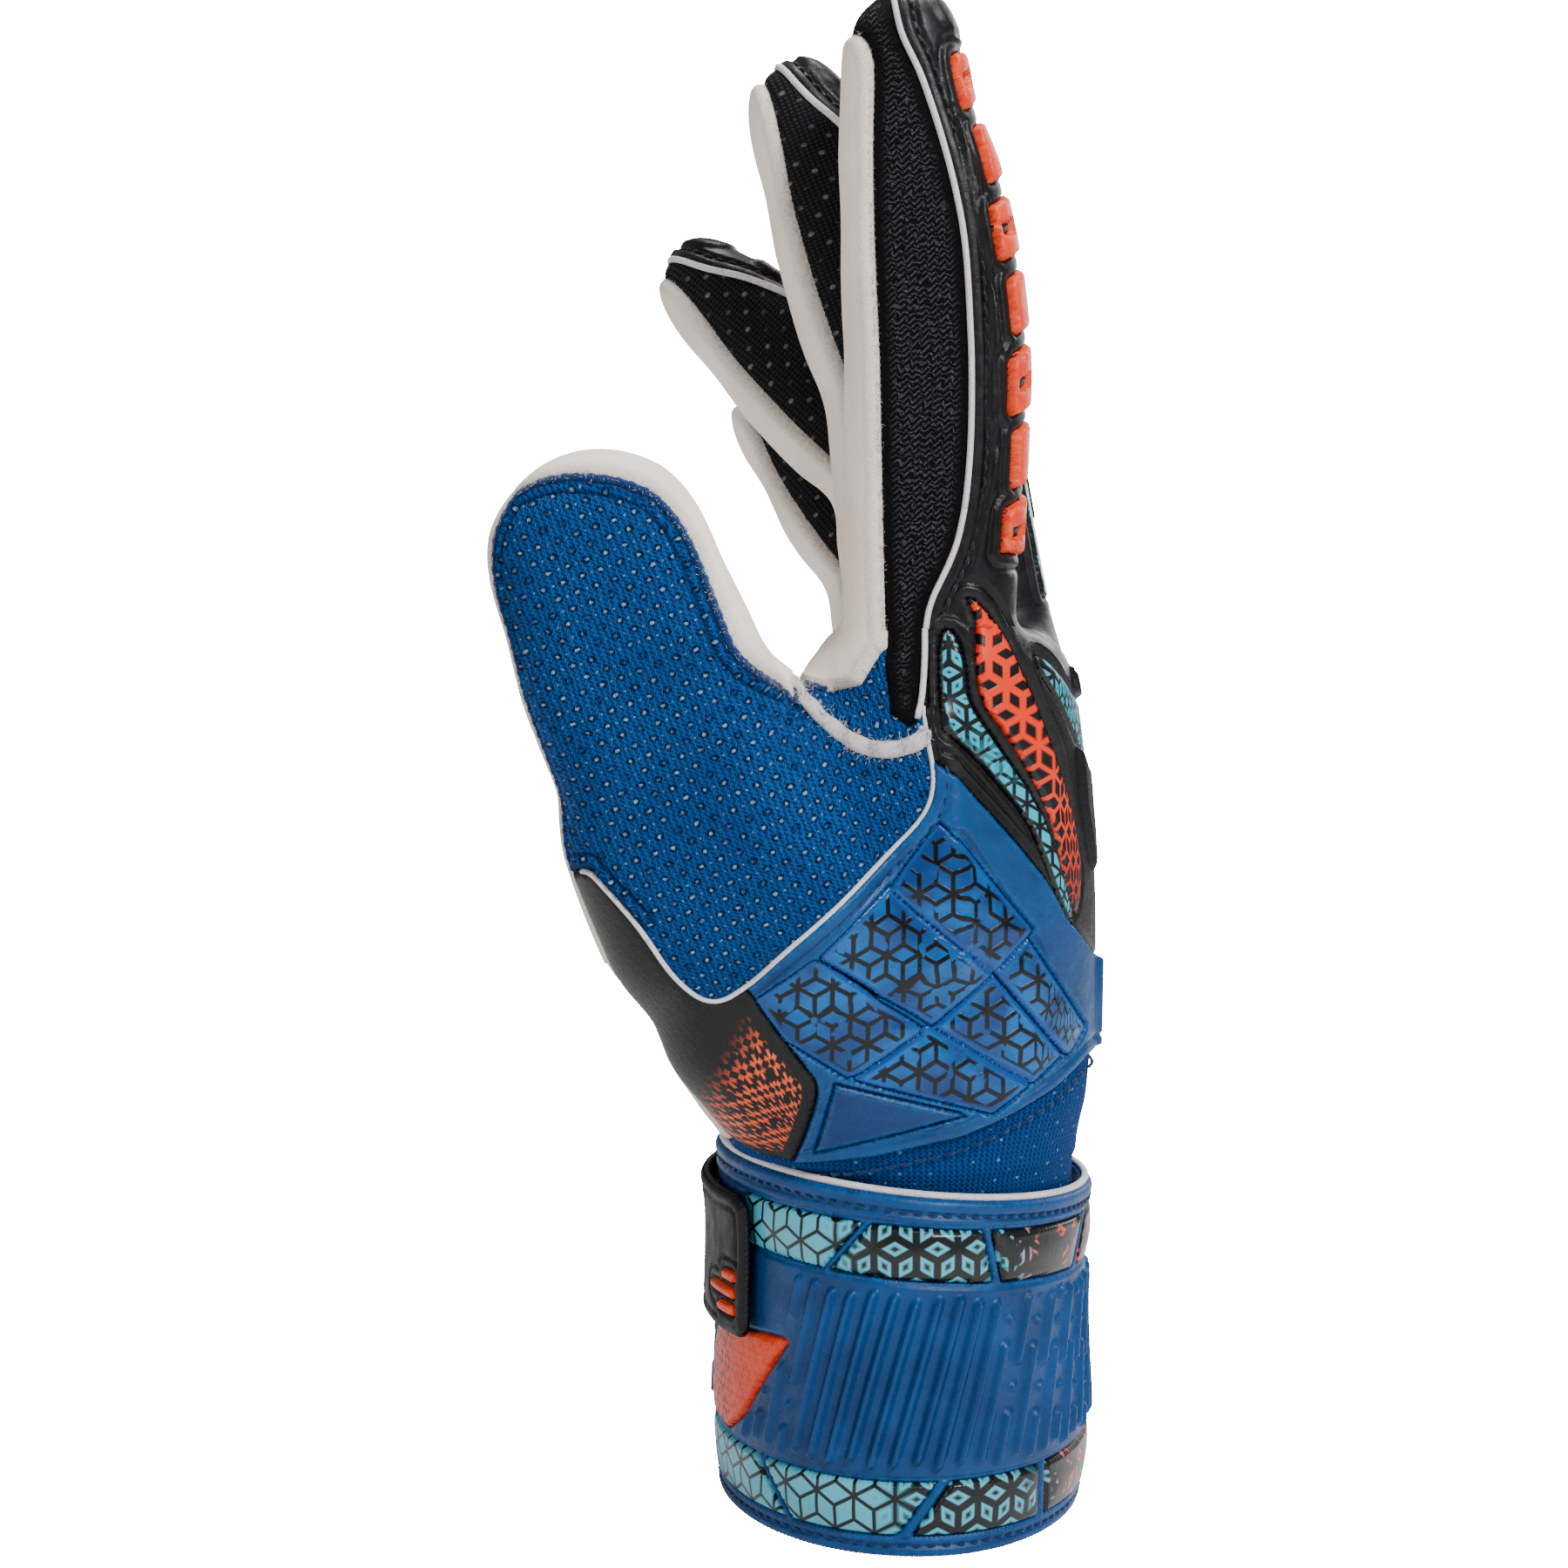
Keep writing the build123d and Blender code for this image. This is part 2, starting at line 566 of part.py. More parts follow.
with BuildPart() as cuff_arrow:
    add(cuff_ring(ARROW_LOW, ARROW_HIGH, INLAY_PROUD, INLAY_PROUD))
    with BuildSketch(Plane.YZ):
        with BuildLine():
            Polyline(
                (ARROW_POINT, (ARROW_LOW + ARROW_HIGH) / 2),
                (ARROW_POINT + 9, ARROW_HIGH),
                (ARROW_END, ARROW_HIGH),
                (ARROW_END - 9, (ARROW_LOW + ARROW_HIGH) / 2),
                (ARROW_END, ARROW_LOW),
                (ARROW_POINT + 9, ARROW_LOW),
                close=True,
            )
        make_face()
    extrude(amount=-100, mode=Mode.INTERSECT)
pieces["cuff_arrow"] = cuff_arrow.part

# A plain woven label inside the back of the cuff.
with BuildPart() as size_label:
    inner = -BAND_WALL - KNIT_WALL
    add(cuff_ring(LABEL_LOW, LABEL_LOW + LABEL_HEIGHT, inner, LABEL_WALL))
    with BuildSketch(Plane.YZ):
        with Locations((0, LABEL_LOW + LABEL_HEIGHT / 2)):
            Rectangle(LABEL_WIDTH, LABEL_HEIGHT)
    extrude(amount=100, mode=Mode.INTERSECT)
pieces["size_label"] = size_label.part

os.makedirs("parts", exist_ok=True)
for name, solid in pieces.items():
    solid.label = name
    export_step(solid, f"parts/{name}.step")
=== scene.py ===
"""The looks of a right-hand goalkeeper glove that stands on its cuff.

The glove's skin is one smooth distance field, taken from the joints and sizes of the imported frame. It is
meshed once, cut along its seams into panels, and each panel is padded, sewn and given its own material.
Lengths here are millimetres until a mesh is made; Blender gets metres.
"""

import json
import math

import bpy
import numpy as np
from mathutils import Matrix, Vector
from mathutils.kdtree import KDTree


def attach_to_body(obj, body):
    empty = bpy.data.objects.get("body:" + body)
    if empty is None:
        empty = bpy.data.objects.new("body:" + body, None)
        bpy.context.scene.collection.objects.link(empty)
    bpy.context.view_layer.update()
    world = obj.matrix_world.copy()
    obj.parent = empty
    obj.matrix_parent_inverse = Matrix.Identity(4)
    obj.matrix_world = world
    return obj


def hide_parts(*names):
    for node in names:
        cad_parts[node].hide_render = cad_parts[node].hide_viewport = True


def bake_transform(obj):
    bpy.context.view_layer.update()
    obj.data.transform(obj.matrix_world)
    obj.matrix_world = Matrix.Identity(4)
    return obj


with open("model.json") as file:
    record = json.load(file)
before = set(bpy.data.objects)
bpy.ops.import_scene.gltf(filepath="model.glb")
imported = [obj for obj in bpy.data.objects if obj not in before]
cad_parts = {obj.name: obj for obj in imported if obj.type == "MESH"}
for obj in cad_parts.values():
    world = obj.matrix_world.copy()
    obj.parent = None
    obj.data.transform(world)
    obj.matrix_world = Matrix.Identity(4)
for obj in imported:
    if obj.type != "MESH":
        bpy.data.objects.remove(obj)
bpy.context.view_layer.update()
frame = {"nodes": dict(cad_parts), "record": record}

RNG = np.random.default_rng(7)
GRID = 1.15  # spacing of the skin's mesh
NO_EDGE = 9.0  # stands for an edge too far away to matter


# ---------------------------------------- small vector tools


def unit(v):
    v = np.asarray(v, float)
    return v / np.linalg.norm(v)


def lerp(a, b, t):
    return a + (b - a) * t


def smooth(t):
    t = np.clip(t, 0, 1)
    return t * t * (3 - 2 * t)


def smin(a, b, k):
    """The smaller of two distances, rounded over where they meet within k."""
    h = np.clip(k - np.abs(a - b), 0, None) / k
    return np.minimum(a, b) - h * h * k * 0.25


def smax(a, b, k):
    return -smin(-a, -b, k)


def rounded_rect(x, y, hx, hy, r):
    """Distance to a rounded rectangle with half sizes hx and hy."""
    qx = np.abs(x) - hx + r
    qy = np.abs(y) - hy + r
    return np.hypot(np.maximum(qx, 0), np.maximum(qy, 0)) + np.minimum(np.maximum(qx, qy), 0) - r


def curve(points, closed=False, per=8):
    """A smooth line through the points (Catmull-Rom)."""
    p = np.asarray(points, float)
    n = len(p)
    out = []
    spans = n if closed else n - 1
    for i in range(spans):
        a, b, c, d = (p[(i + k) % n] if closed else p[min(max(i + k, 0), n - 1)] for k in (-1, 0, 1, 2))
        for t in np.linspace(0, 1, per, endpoint=False):
            bend = (2 * a - 5 * b + 4 * c - d) * t**2 + (3 * b - a - 3 * c + d) * t**3
            out.append(0.5 * (2 * b + (c - a) * t + bend))
    if not closed:
        out.append(p[-1])
    return np.array(out)


def polygon(x, y, points):
    """Signed distance to a polygon, negative inside."""
    p = np.asarray(points, float)
    best = np.full(x.shape, 1e9)
    inside = np.zeros(x.shape, bool)
    for (ax, ay), (bx, by) in zip(p, np.roll(p, -1, 0)):
        ex, ey = bx - ax, by - ay
        wx, wy = x - ax, y - ay
        t = np.clip((wx * ex + wy * ey) / max(ex * ex + ey * ey, 1e-9), 0, 1)
        best = np.minimum(best, (wx - ex * t) ** 2 + (wy - ey * t) ** 2)
        if ey != 0:
            crosses = (ay > y) != (by > y)
            inside ^= crosses & (x < ax + (y - ay) * ex / ey)
    return np.where(inside, -1, 1) * np.sqrt(best)


# ---------------------------------------- the digits

JOINTS = {j["name"]: j for j in frame["record"]["behaviour"]["joints"]}


class Digit:
    """A finger or thumb: two lengths that meet at its middle joint."""

    def __init__(self, name, first, second, side_sign, bend, tip_reach, backs, fronts, widths, corner, dome,
                 foot):
        k1, k2 = JOINTS[first], JOINTS[second]
        self.name = name
        self.o1 = np.array(k1["pos_m"]) * 1000
        self.o2 = np.array(k2["pos_m"]) * 1000
        self.y = unit(k1["axis"]) * side_sign
        self.z1 = unit(self.o2 - self.o1)
        self.x1 = unit(np.cross(self.y, self.z1))
        c, s = math.cos(math.radians(bend)), math.sin(math.radians(bend))
        self.z2 = c * self.z1 - s * self.x1
        self.x2 = c * self.x1 + s * self.z1
        self.l1 = np.linalg.norm(self.o2 - self.o1)
        self.l2 = tip_reach
        stations = np.linspace(0, 1, len(backs))
        self.sizes = curve(np.column_stack([stations, backs, fronts, widths]), per=6)
        self.foot = foot
        self.corner, self.dome = corner, dome
        self.bisector = unit(self.z1 + self.z2)

    def local(self, p):
        """Depth a to the back, b to the side and s along the digit, through its bend."""
        q1, q2 = p - self.o1, p - self.o2
        upper = q2 @ self.bisector > 0
        a = np.where(upper, q2 @ self.x2, q1 @ self.x1)
        s = np.where(upper, self.l1 + q2 @ self.z2, q1 @ self.z1)
        return a, q1 @ self.y, s

    def size(self, s):
        """The sleeve's depth, width and middle at s."""
        share = s / (self.l1 + self.l2)
        back, front, width = (np.interp(share, self.sizes[:, 0], self.sizes[:, k]) for k in (1, 2, 3))
        return back + front, width, (back - front) / 2

    def sleeve(self, a, b, s):
        """Distance to the sleeve's cross-section at s."""
        depth, width, middle = self.size(s)
        corner = np.minimum(self.corner, 0.48 * np.minimum(depth, width))
        return rounded_rect(a - middle, b, depth / 2, width / 2, corner)

    def field(self, p):
        q1, q2 = p - self.o1, p - self.o2
        b = q1 @ self.y
        end = self.l1 + self.l2
        s1 = q1 @ self.z1
        lower = smax(self.sleeve(q1 @ self.x1, b, s1), self.foot - s1, 8.0)
        a2, s2 = q2 @ self.x2, self.l1 + q2 @ self.z2
        ra, rb, lift = self.dome
        centre = self.size(np.full(1, end - ra))[2][0] + lift
        beyond = np.maximum(s2 - (end - ra), 0)
        scaled = np.sqrt(((a2 - centre) / rb[0]) ** 2 + (b / rb[1]) ** 2 + (beyond / ra) ** 2)
        cap = (scaled - 1) * min(ra, *rb)
        upper = self.sleeve(a2, b, s2)
        upper = lerp(upper, smax(upper, cap, 3.0), smooth((s2 - end + ra + 16) / 16))
        return lerp(lower, upper, smooth(0.5 + (q2 @ self.bisector) / 18.0))


# half depths to the back and to the front of each finger, and widths, in even steps from knuckle to tip
FINGER_BACKS = (21.4, 20.6, 20.0, 19.8, 19.2, 17.0, 13.0, 8.6)
FINGER_FRONTS = (11.4, 11.0, 10.8, 10.7, 10.4, 9.2, 7.2, 5.0)
INDEX_BACKS = (15.6, 16.6, 17.6, 18.3, 17.7, 15.2, 11.4, 8.5)
INDEX_FRONTS = (10.2, 9.7, 9.2, 8.9, 8.7, 8.3, 7.6, 6.6)
FINGER_WIDTHS = (22.6, 22.8, 22.8, 22.6, 22.0, 21.4, 20.4, 18.5)
THUMB_HALF_DEPTHS = (14.5, 14.2, 13.8, 13.2, 12.4, 11.4, 10.4)
THUMB_WIDTHS = (37.0, 36.5, 36.3, 36.0, 35.0, 33.0, 29.0)


def finger(name, bend, reach, scale_d=1.0, scale_w=1.0, dome=(15.0, (9.8, 11.2), -0.4)):
    index = name == "index"
    backs, fronts = (INDEX_BACKS, INDEX_FRONTS) if index else (FINGER_BACKS, FINGER_FRONTS)
    return Digit(
        name, f"{name}_knuckle", f"{name}_middle_joint", -1, bend, reach,
        [d * scale_d for d in backs], [d * scale_d for d in fronts], [w * scale_w for w in FINGER_WIDTHS],
        9.0, dome, -26.0,
    )


DIGITS = {
    "index": finger("index", 2.0, 60.5, dome=(13.0, (10.2, 11.2), 0.0)),
    "middle": finger("middle", 13.5, 58.6),
    "ring": finger("ring", 38.0, 57.0, 0.96),
    "little": finger("little", 26.5, 44.0, 0.87, 0.9, (13.0, (8.6, 10.0), -0.3)),
    "thumb": Digit(
        "thumb", "thumb_knuckle", "thumb_tip_joint", 1, 0.0, 38.0,
        [d * 1.3 for d in THUMB_HALF_DEPTHS], [d * 0.7 for d in THUMB_HALF_DEPTHS], THUMB_WIDTHS,
        10.5, (19.0, (12.6, 17.6), 0.0), -15.0,
    ),
}
FINGERS = [d for d in DIGITS.values() if d.name != "thumb"]
THUMB = DIGITS["thumb"]

# ---------------------------------------- the hand

# height, palm x, back x, thumb-side y, little-finger-side y
HAND = curve([
    (48.0, -29.8, 29.4, -41.4, 41.4),
    (58.0, -30.2, 29.8, -41.8, 41.8),
    (66.0, -31.2, 30.2, -43.2, 43.0),
    (76.0, -31.6, 31.4, -44.8, 44.6),
    (88.0, -31.0, 31.8, -46.2, 45.8),
    (112.0, -27.0, 31.4, -48.8, 47.5),
    (136.0, -21.0, 28.8, -49.6, 48.5),
    (152.0, -14.5, 25.8, -49.6, 48.5),
    (168.0, -12.0, 24.0, -49.4, 48.0),
])
PALM_CORNER = 19.0
BACK_CORNER = 27.0
THUMB_ROOT = np.array([-15.0, -25.0, 74.0])
WEB = ((-40, 112), (-24, 142), (-15, 136.5), (-8, 134), (2, 136), (6, 100), (-20, 96))
knuckle_line = sorted((d.o1[1], d.o1[2]) for d in FINGERS)


CUFF_HALF_WIDTH = 46.0
CUFF_HALF_DEPTH = 33.0
CUFF_AXES = curve([  # height, half depth on the palm side, half depth on the back side
    (-2, 32.4, 30.6), (0, 32.6, 31.0), (5, 33.0, 32.0), (15, 33.3, 32.6), (30, 32.4, 32.0), (40, 32.0, 32.2),
    (50, 32.0, 33.0), (58, 33.0, 33.8), (66, 33.6, 34.0),
])


def cuff_shell(inset=0.0):
    def field(p):
        x, y, z = p.T
        palm, back = (np.interp(z, CUFF_AXES[:, 0], CUFF_AXES[:, k]) - inset for k in (1, 2))
        half = np.where(x < 0, palm, back)
        width = CUFF_HALF_WIDTH - 1.2 - inset
        swell = np.hypot(x / half, y / width)
        steepness = np.hypot(x * width / half, y * half / width)
        return (swell - 1) * swell * half * width / np.maximum(steepness, 1e-6)
    return field


def hand_field(p):
    x, y, z = p[:, 0], p[:, 1], p[:, 2]
    lo, hi, thumb, little = (np.interp(z, HAND[:, 0], HAND[:, k]) for k in (1, 2, 3, 4))
    half = (hi - lo) / 2
    palm_corner = lerp(half, PALM_CORNER, smooth((z - 62) / 26))  # the wrist is oval
    corner = np.minimum(np.where(x > (lo + hi) / 2, np.maximum(BACK_CORNER, palm_corner), palm_corner),
                        half - 0.3)
    body = rounded_rect(x - (lo + hi) / 2, y - (thumb + little) / 2, half, (little - thumb) / 2, corner)
    top = np.interp(y, [k[0] for k in knuckle_line], [k[1] + 3.0 for k in knuckle_line])
    body = smax(body, z - top, 9.0)
    # the ball of the thumb, a tapering rounded tube from inside the palm to the thumb's knuckle
    knuckle = THUMB.o1 + THUMB.z1 * 8 + THUMB.x1 * 4.3
    along = unit(knuckle - THUMB_ROOT)
    span = np.linalg.norm(knuckle - THUMB_ROOT)
    q = p - THUMB_ROOT
    s = q @ along
    side = unit(THUMB.y - along * (THUMB.y @ along))
    out = np.cross(side, along)
    t = np.clip(s / span, -0.3, 1)
    root = rounded_rect(q @ out, q @ side, lerp(17.0, 14.4, t), lerp(21.0, 18.4, t), 11.0)
    root = smax(root, np.abs(s - span / 2) - span / 2 - 2, 6.0) + 9.0 * smooth((82 - z) / 20)
    body = smin(body, root, 14.0)
    body = smax(body, cuff_shell(1.7)(p) - 40.0 * smooth((z - 61) / 14), 3.0)
    web = np.maximum(polygon(x, z, WEB), np.abs(y + 45.0 + 0.10 * (x + 10)) - 3.0)
    return smin(body, web, 10.0)


def skin_field(p):
    hand = hand_field(p)
    out = smin(hand, THUMB.field(p), 11.0)
    for d in FINGERS:
        out = np.minimum(out, smin(hand, d.field(p), 4.0))
    return out


def gradient(f, p, h=0.15):
    g = np.empty_like(p)
    for k in range(3):
        e = np.zeros(3)
        e[k] = h
        g[:, k] = (f(p + e) - f(p - e)) / (2 * h)
    return g


class Surface:
    """The zero surface of a distance field."""

    def __init__(self, field):
        self.field = field

    def project(self, p, steps=2):
        for _ in range(steps):
            g = gradient(self.field, p)
            p = p - g * (self.field(p) / np.maximum((g * g).sum(1), 1e-6))[:, None]
        return p

    def normal(self, p):
        g = gradient(self.field, p, 0.5)
        return g / np.maximum(np.linalg.norm(g, axis=1), 1e-9)[:, None]


SKIN = Surface(skin_field)


# ---------------------------------------- meshing


def surface_net(f, low, high, h):
    """A quad mesh of the field's zero surface."""
    axes = [np.arange(a, b + h, h) for a, b in zip(low, high)]
    nx, ny, nz = (len(a) for a in axes)
    values = np.empty((nx, ny, nz), np.float32)
    plane = np.stack(np.meshgrid(axes[1], axes[2], indexing="ij"), -1).reshape(-1, 2)
    for i0 in range(0, nx, 8):
        xs = axes[0][i0:i0 + 8]
        p = np.empty((len(xs) * len(plane), 3))
        p[:, 0] = np.repeat(xs, len(plane))
        p[:, 1:] = np.tile(plane, (len(xs), 1))
        values[i0:i0 + 8] = f(p).reshape(len(xs), ny, nz)
    offsets = np.array(list(np.ndindex(2, 2, 2)))
    corner = [values[dx:nx - 1 + dx, dy:ny - 1 + dy, dz:nz - 1 + dz] for dx, dy, dz in offsets]
    inside = [c < 0 for c in corner]
    count = sum(i.astype(np.int8) for i in inside)
    cells = np.argwhere((count > 0) & (count < 8))
    index = np.full((nx - 1, ny - 1, nz - 1), -1, np.int64)
    index[tuple(cells.T)] = np.arange(len(cells))
    at = [c[tuple(cells.T)] for c in corner]
    total = np.zeros((len(cells), 3))
    hits = np.zeros(len(cells))
    for i in range(8):
        for j in range(i + 1, 8):
            if np.abs(offsets[i] - offsets[j]).sum() != 1:
                continue
            cross = (at[i] < 0) != (at[j] < 0)
            t = np.where(cross, at[i] / np.where(cross, at[i] - at[j], 1), 0)[:, None]
            total += np.where(cross[:, None], offsets[i] + (offsets[j] - offsets[i]) * t, 0)
            hits += cross
    verts = (cells + total / hits[:, None]) * h + np.array([a[0] for a in axes])
    faces = []
    sign = values < 0
    for axis in range(3):
        u, v = (axis + 1) % 3, (axis + 2) % 3
        a = np.take(sign, range(0, sign.shape[axis] - 1), axis)
        b = np.take(sign, range(1, sign.shape[axis]), axis)
        edges = np.argwhere(a != b)
        limit = np.array(index.shape)[[u, v]]
        edges = edges[((edges[:, [u, v]] > 0) & (edges[:, [u, v]] < limit)).all(1)]
        outward = a[tuple(edges.T)]
        quad = []
        for du, dv in ((-1, -1), (0, -1), (0, 0), (-1, 0)):
            c = edges.copy()
            c[:, u] += du
            c[:, v] += dv
            quad.append(index[tuple(c.T)])
        quad = np.stack(quad, 1)
        quad[~outward] = quad[~outward][:, ::-1]
        faces.append(quad)
    return verts, np.concatenate(faces)


def triangulate(verts, quads):
    """Splits each quad along its shorter diagonal."""
    p = verts[quads]
    first = np.linalg.norm(p[:, 0] - p[:, 2], axis=1) <= np.linalg.norm(p[:, 1] - p[:, 3], axis=1)
    a = np.where(first[:, None], quads[:, [0, 1, 2]], quads[:, [0, 1, 3]])
    b = np.where(first[:, None], quads[:, [0, 2, 3]], quads[:, [1, 2, 3]])
    return np.concatenate([a, b])


def sides_of(faces):
    """The three directed edges of each triangle."""
    return np.concatenate([faces[:, [0, 1]], faces[:, [1, 2]], faces[:, [2, 0]]])


def relax(verts, faces, rounds, surface=SKIN):
    """Evens out the mesh and puts it back on the skin."""
    ends = sides_of(faces)
    first, second = np.concatenate([ends, ends[:, ::-1]]).T
    count = np.bincount(first, minlength=len(verts))[:, None]
    for _ in range(rounds):
        mean = np.stack([np.bincount(first, verts[second, k], len(verts)) for k in range(3)], 1) / count
        verts = surface.project(lerp(verts, mean, 0.6), 1)
    return verts


def compact(verts, faces):
    used, inverse = np.unique(faces, return_inverse=True)
    return verts[used], inverse.reshape(faces.shape)


def carve(mesh, f, surface=SKIN):
    """Cuts a triangle mesh along f's zero line: (where f is negative, the rest)."""
    verts, faces = mesh
    if not len(faces):
        return mesh, mesh
    value = f(verts)
    # points near the line move on to it, so that no sliver is left
    near = np.flatnonzero(np.abs(value) < 0.45 * GRID)
    if len(near):
        p = verts[near]
        g = gradient(f, p)
        n = surface.normal(p)
        g -= n * (g * n).sum(1)[:, None]
        slope = np.linalg.norm(g, axis=1)
        step = value[near] / np.maximum(slope, 0.3)
        take = np.abs(step) < 0.45 * GRID
        p = p - (g / np.maximum(slope, 1e-9)[:, None]) * step[:, None]
        verts = verts.copy()
        verts[near[take]] = surface.project(p[take], 1)
        value[near[take]] = 0
    s = np.sign(value)
    fs = s[faces]
    has_in, has_out = (fs < 0).any(1), (fs > 0).any(1)
    inner = [faces[has_in & ~has_out]]
    outer = [faces[~has_in & has_out]]
    flat = faces[~has_in & ~has_out]
    if len(flat):
        middle = f(verts[flat].mean(1)) < 0
        inner.append(flat[middle])
        outer.append(flat[~middle])
    mixed = faces[has_in & has_out]
    new_points, lookup = [], {}

    def crossing(i, j):
        key = (i, j) if i < j else (j, i)
        if key not in lookup:
            t = value[i] / (value[i] - value[j])
            lookup[key] = len(verts) + len(new_points)
            new_points.append(verts[i] + (verts[j] - verts[i]) * t)
        return lookup[key]

    extra = {-1: [], 1: []}
    for tri in mixed:
        for sign, out in extra.items():
            ring = []
            for k in range(3):
                i, j = int(tri[k]), int(tri[(k + 1) % 3])
                if s[i] == 0 or s[i] == sign:
                    ring.append(i)
                if s[i] * s[j] < 0:
                    ring.append(crossing(i, j))
            for k in range(1, len(ring) - 1):
                out.append((ring[0], ring[k], ring[k + 1]))
    if new_points:
        verts = np.concatenate([verts, surface.project(np.array(new_points), 1)])
    inner.append(np.array(extra[-1], int).reshape(-1, 3))
    outer.append(np.array(extra[1], int).reshape(-1, 3))
    return tuple(compact(verts, np.concatenate(part)) for part in (inner, outer))


def border_edges(faces):
    """Edges with a face on one side only, in the face's direction."""
    e = sides_of(faces)
    key = np.sort(e, 1)
    _, first, count = np.unique(key, axis=0, return_index=True, return_counts=True)
    return e[first[count == 1]]


def split_edges(verts, faces, marked, surface):
    """Halves each edge that has both ends marked: (verts, faces, {edge: its new middle point})."""
    e = np.sort(sides_of(faces), 1)
    unique, inverse = np.unique(e, axis=0, return_inverse=True)
    chosen = marked[unique].all(1)
    middle = np.full(len(unique), -1)
    middle[chosen] = len(verts) + np.arange(chosen.sum())
    points = (verts[unique[chosen, 0]] + verts[unique[chosen, 1]]) / 2
    verts = np.concatenate([verts, surface.project(points, 1)])
    mids = middle[inverse.reshape(3, -1)].T
    count = (mids >= 0).sum(1)
    out = [faces[count == 0]]
    for k in range(3):
        f, m = np.roll(faces, -k, 1), np.roll(mids, -k, 1)
        one = (count == 1) & (m[:, 0] >= 0)
        a, b, c = f[one].T
        ab = m[one, 0]
        out += [np.stack(t, 1) for t in ((a, ab, c), (ab, b, c))]
        two = (count == 2) & (m[:, 2] < 0)
        a, b, c = f[two].T
        ab, bc = m[two, 0], m[two, 1]
        out += [np.stack(t, 1) for t in ((ab, b, bc), (a, ab, bc), (a, bc, c))]
    a, b, c = faces[count == 3].T
    ab, bc, ca = mids[count == 3].T
    out += [np.stack(t, 1) for t in ((a, ab, ca), (ab, b, bc), (ca, bc, c), (ab, bc, ca))]
    return verts, np.concatenate(out), dict(zip(map(tuple, unique[chosen].tolist()), middle[chosen].tolist()))


# ---------------------------------------- where the digits leave the hand

# along each digit: where its skin starts to bend at the knuckle, where that ends and the skin is cut,
# and where the bend at the middle joint starts and ends
ZONES = {}
for digit in FINGERS:
    first = 3.5 if digit.l1 > 35 else 3.0
    half = 0.29 * digit.l1 if digit.l1 > 35 else 12.0
    cut = min(23.0, 0.54 * digit.l1)
    ZONES[digit.name] = (first, cut - 0.7, cut, max(cut + 0.7, digit.l1 - half), digit.l1 + half)
THUMB_TILT = math.radians(30)
THUMB_WAY = math.cos(THUMB_TILT) * THUMB.z1 - math.sin(THUMB_TILT) * THUMB.y
ZONES["thumb"] = (1.0, 15.0, 15.5, 16.0, 32.0)


def way(digit, p):
    """How far along its blend direction a point is."""
    if digit is THUMB:
        return (p - digit.o1) @ THUMB_WAY
    return digit.local(p)[2]


def digit_zone(digit):
    """Negative on the digit, beyond its knuckle."""
    others = [d for d in FINGERS if d is not digit]

    def field(p):
        way_out = THUMB_WAY if digit is THUMB else digit.z1
        start = ZONES[digit.name][0] - (p - digit.o1) @ way_out
        if digit is THUMB:
            return np.maximum(start, THUMB.field(p) - 9.0)
        mine = digit.field(p)
        return np.maximum(start, mine - np.minimum.reduce([d.field(p) for d in others] + [THUMB.field(p)]))
    return field


def cut_zone(digit):
    """Negative between the knuckle and the cut."""
    limit = ZONES[digit.name][2]
    if digit is THUMB:
        return lambda p: (p - digit.o1) @ THUMB_WAY - limit
    return lambda p: (p - digit.o1) @ digit.z1 - limit


# ---------------------------------------- seams on the digits

# along the index finger from its knuckle: where its front panel ends, and where its back panel starts
FRONT_SEAM = ((-10, -4.9), (20, -5.1), (60, -5.1), (80, -4.6), (92, -3.8), (97, -3.8), (101, -5.2),
              (104, -8.5), (112, -13))
BACK_SEAM = ((-10, 0.4), (-2, 1.2), (4, 1.5), (8, 2.2), (15, 5.8), (23, 8.0), (35, 9.2), (50, 9.5), (65, 9.3),
             (75, 8.0), (84, 6.0), (94, 3.2), (101, 0.6), (112, 0.0))
OTHER_FRONT_SEAM = ((-10, -4.8), (10, -5.6), (30, -6.4), (60, -6.6), (80, -5.2), (94, -3.0), (103, -1.8),
                    (112, -1.4))
OTHER_BACK_SEAM = ((-10, 0.8), (-2, 1.6), (4, 2.6), (10, 5.0), (20, 8.5), (35, 10.8), (50, 11.8), (65, 11.8),
                   (80, 9.8), (92, 6.6), (101, 2.8), (112, 0.8))
INDEX_LENGTH = DIGITS["index"].l1 + DIGITS["index"].l2


def seam_depth(digit, s, table):
    share = (digit.l1 + digit.l2) / INDEX_LENGTH
    depth = digit.sizes[0, 2] / DIGITS["index"].sizes[0, 2]
    table = curve(table, per=6)
    return depth * np.interp(s / share, table[:, 0], table[:, 1])


def front_field(digit):
    def field(p):
        a, _, s = digit.local(p)
        return a - seam_depth(digit, s, FRONT_SEAM if digit.name == "index" else OTHER_FRONT_SEAM)
    return field


def back_field(digit):
    def field(p):
        a, _, s = digit.local(p)
        return seam_depth(digit, s, BACK_SEAM if digit.name == "index" else OTHER_BACK_SEAM) - a
    return field


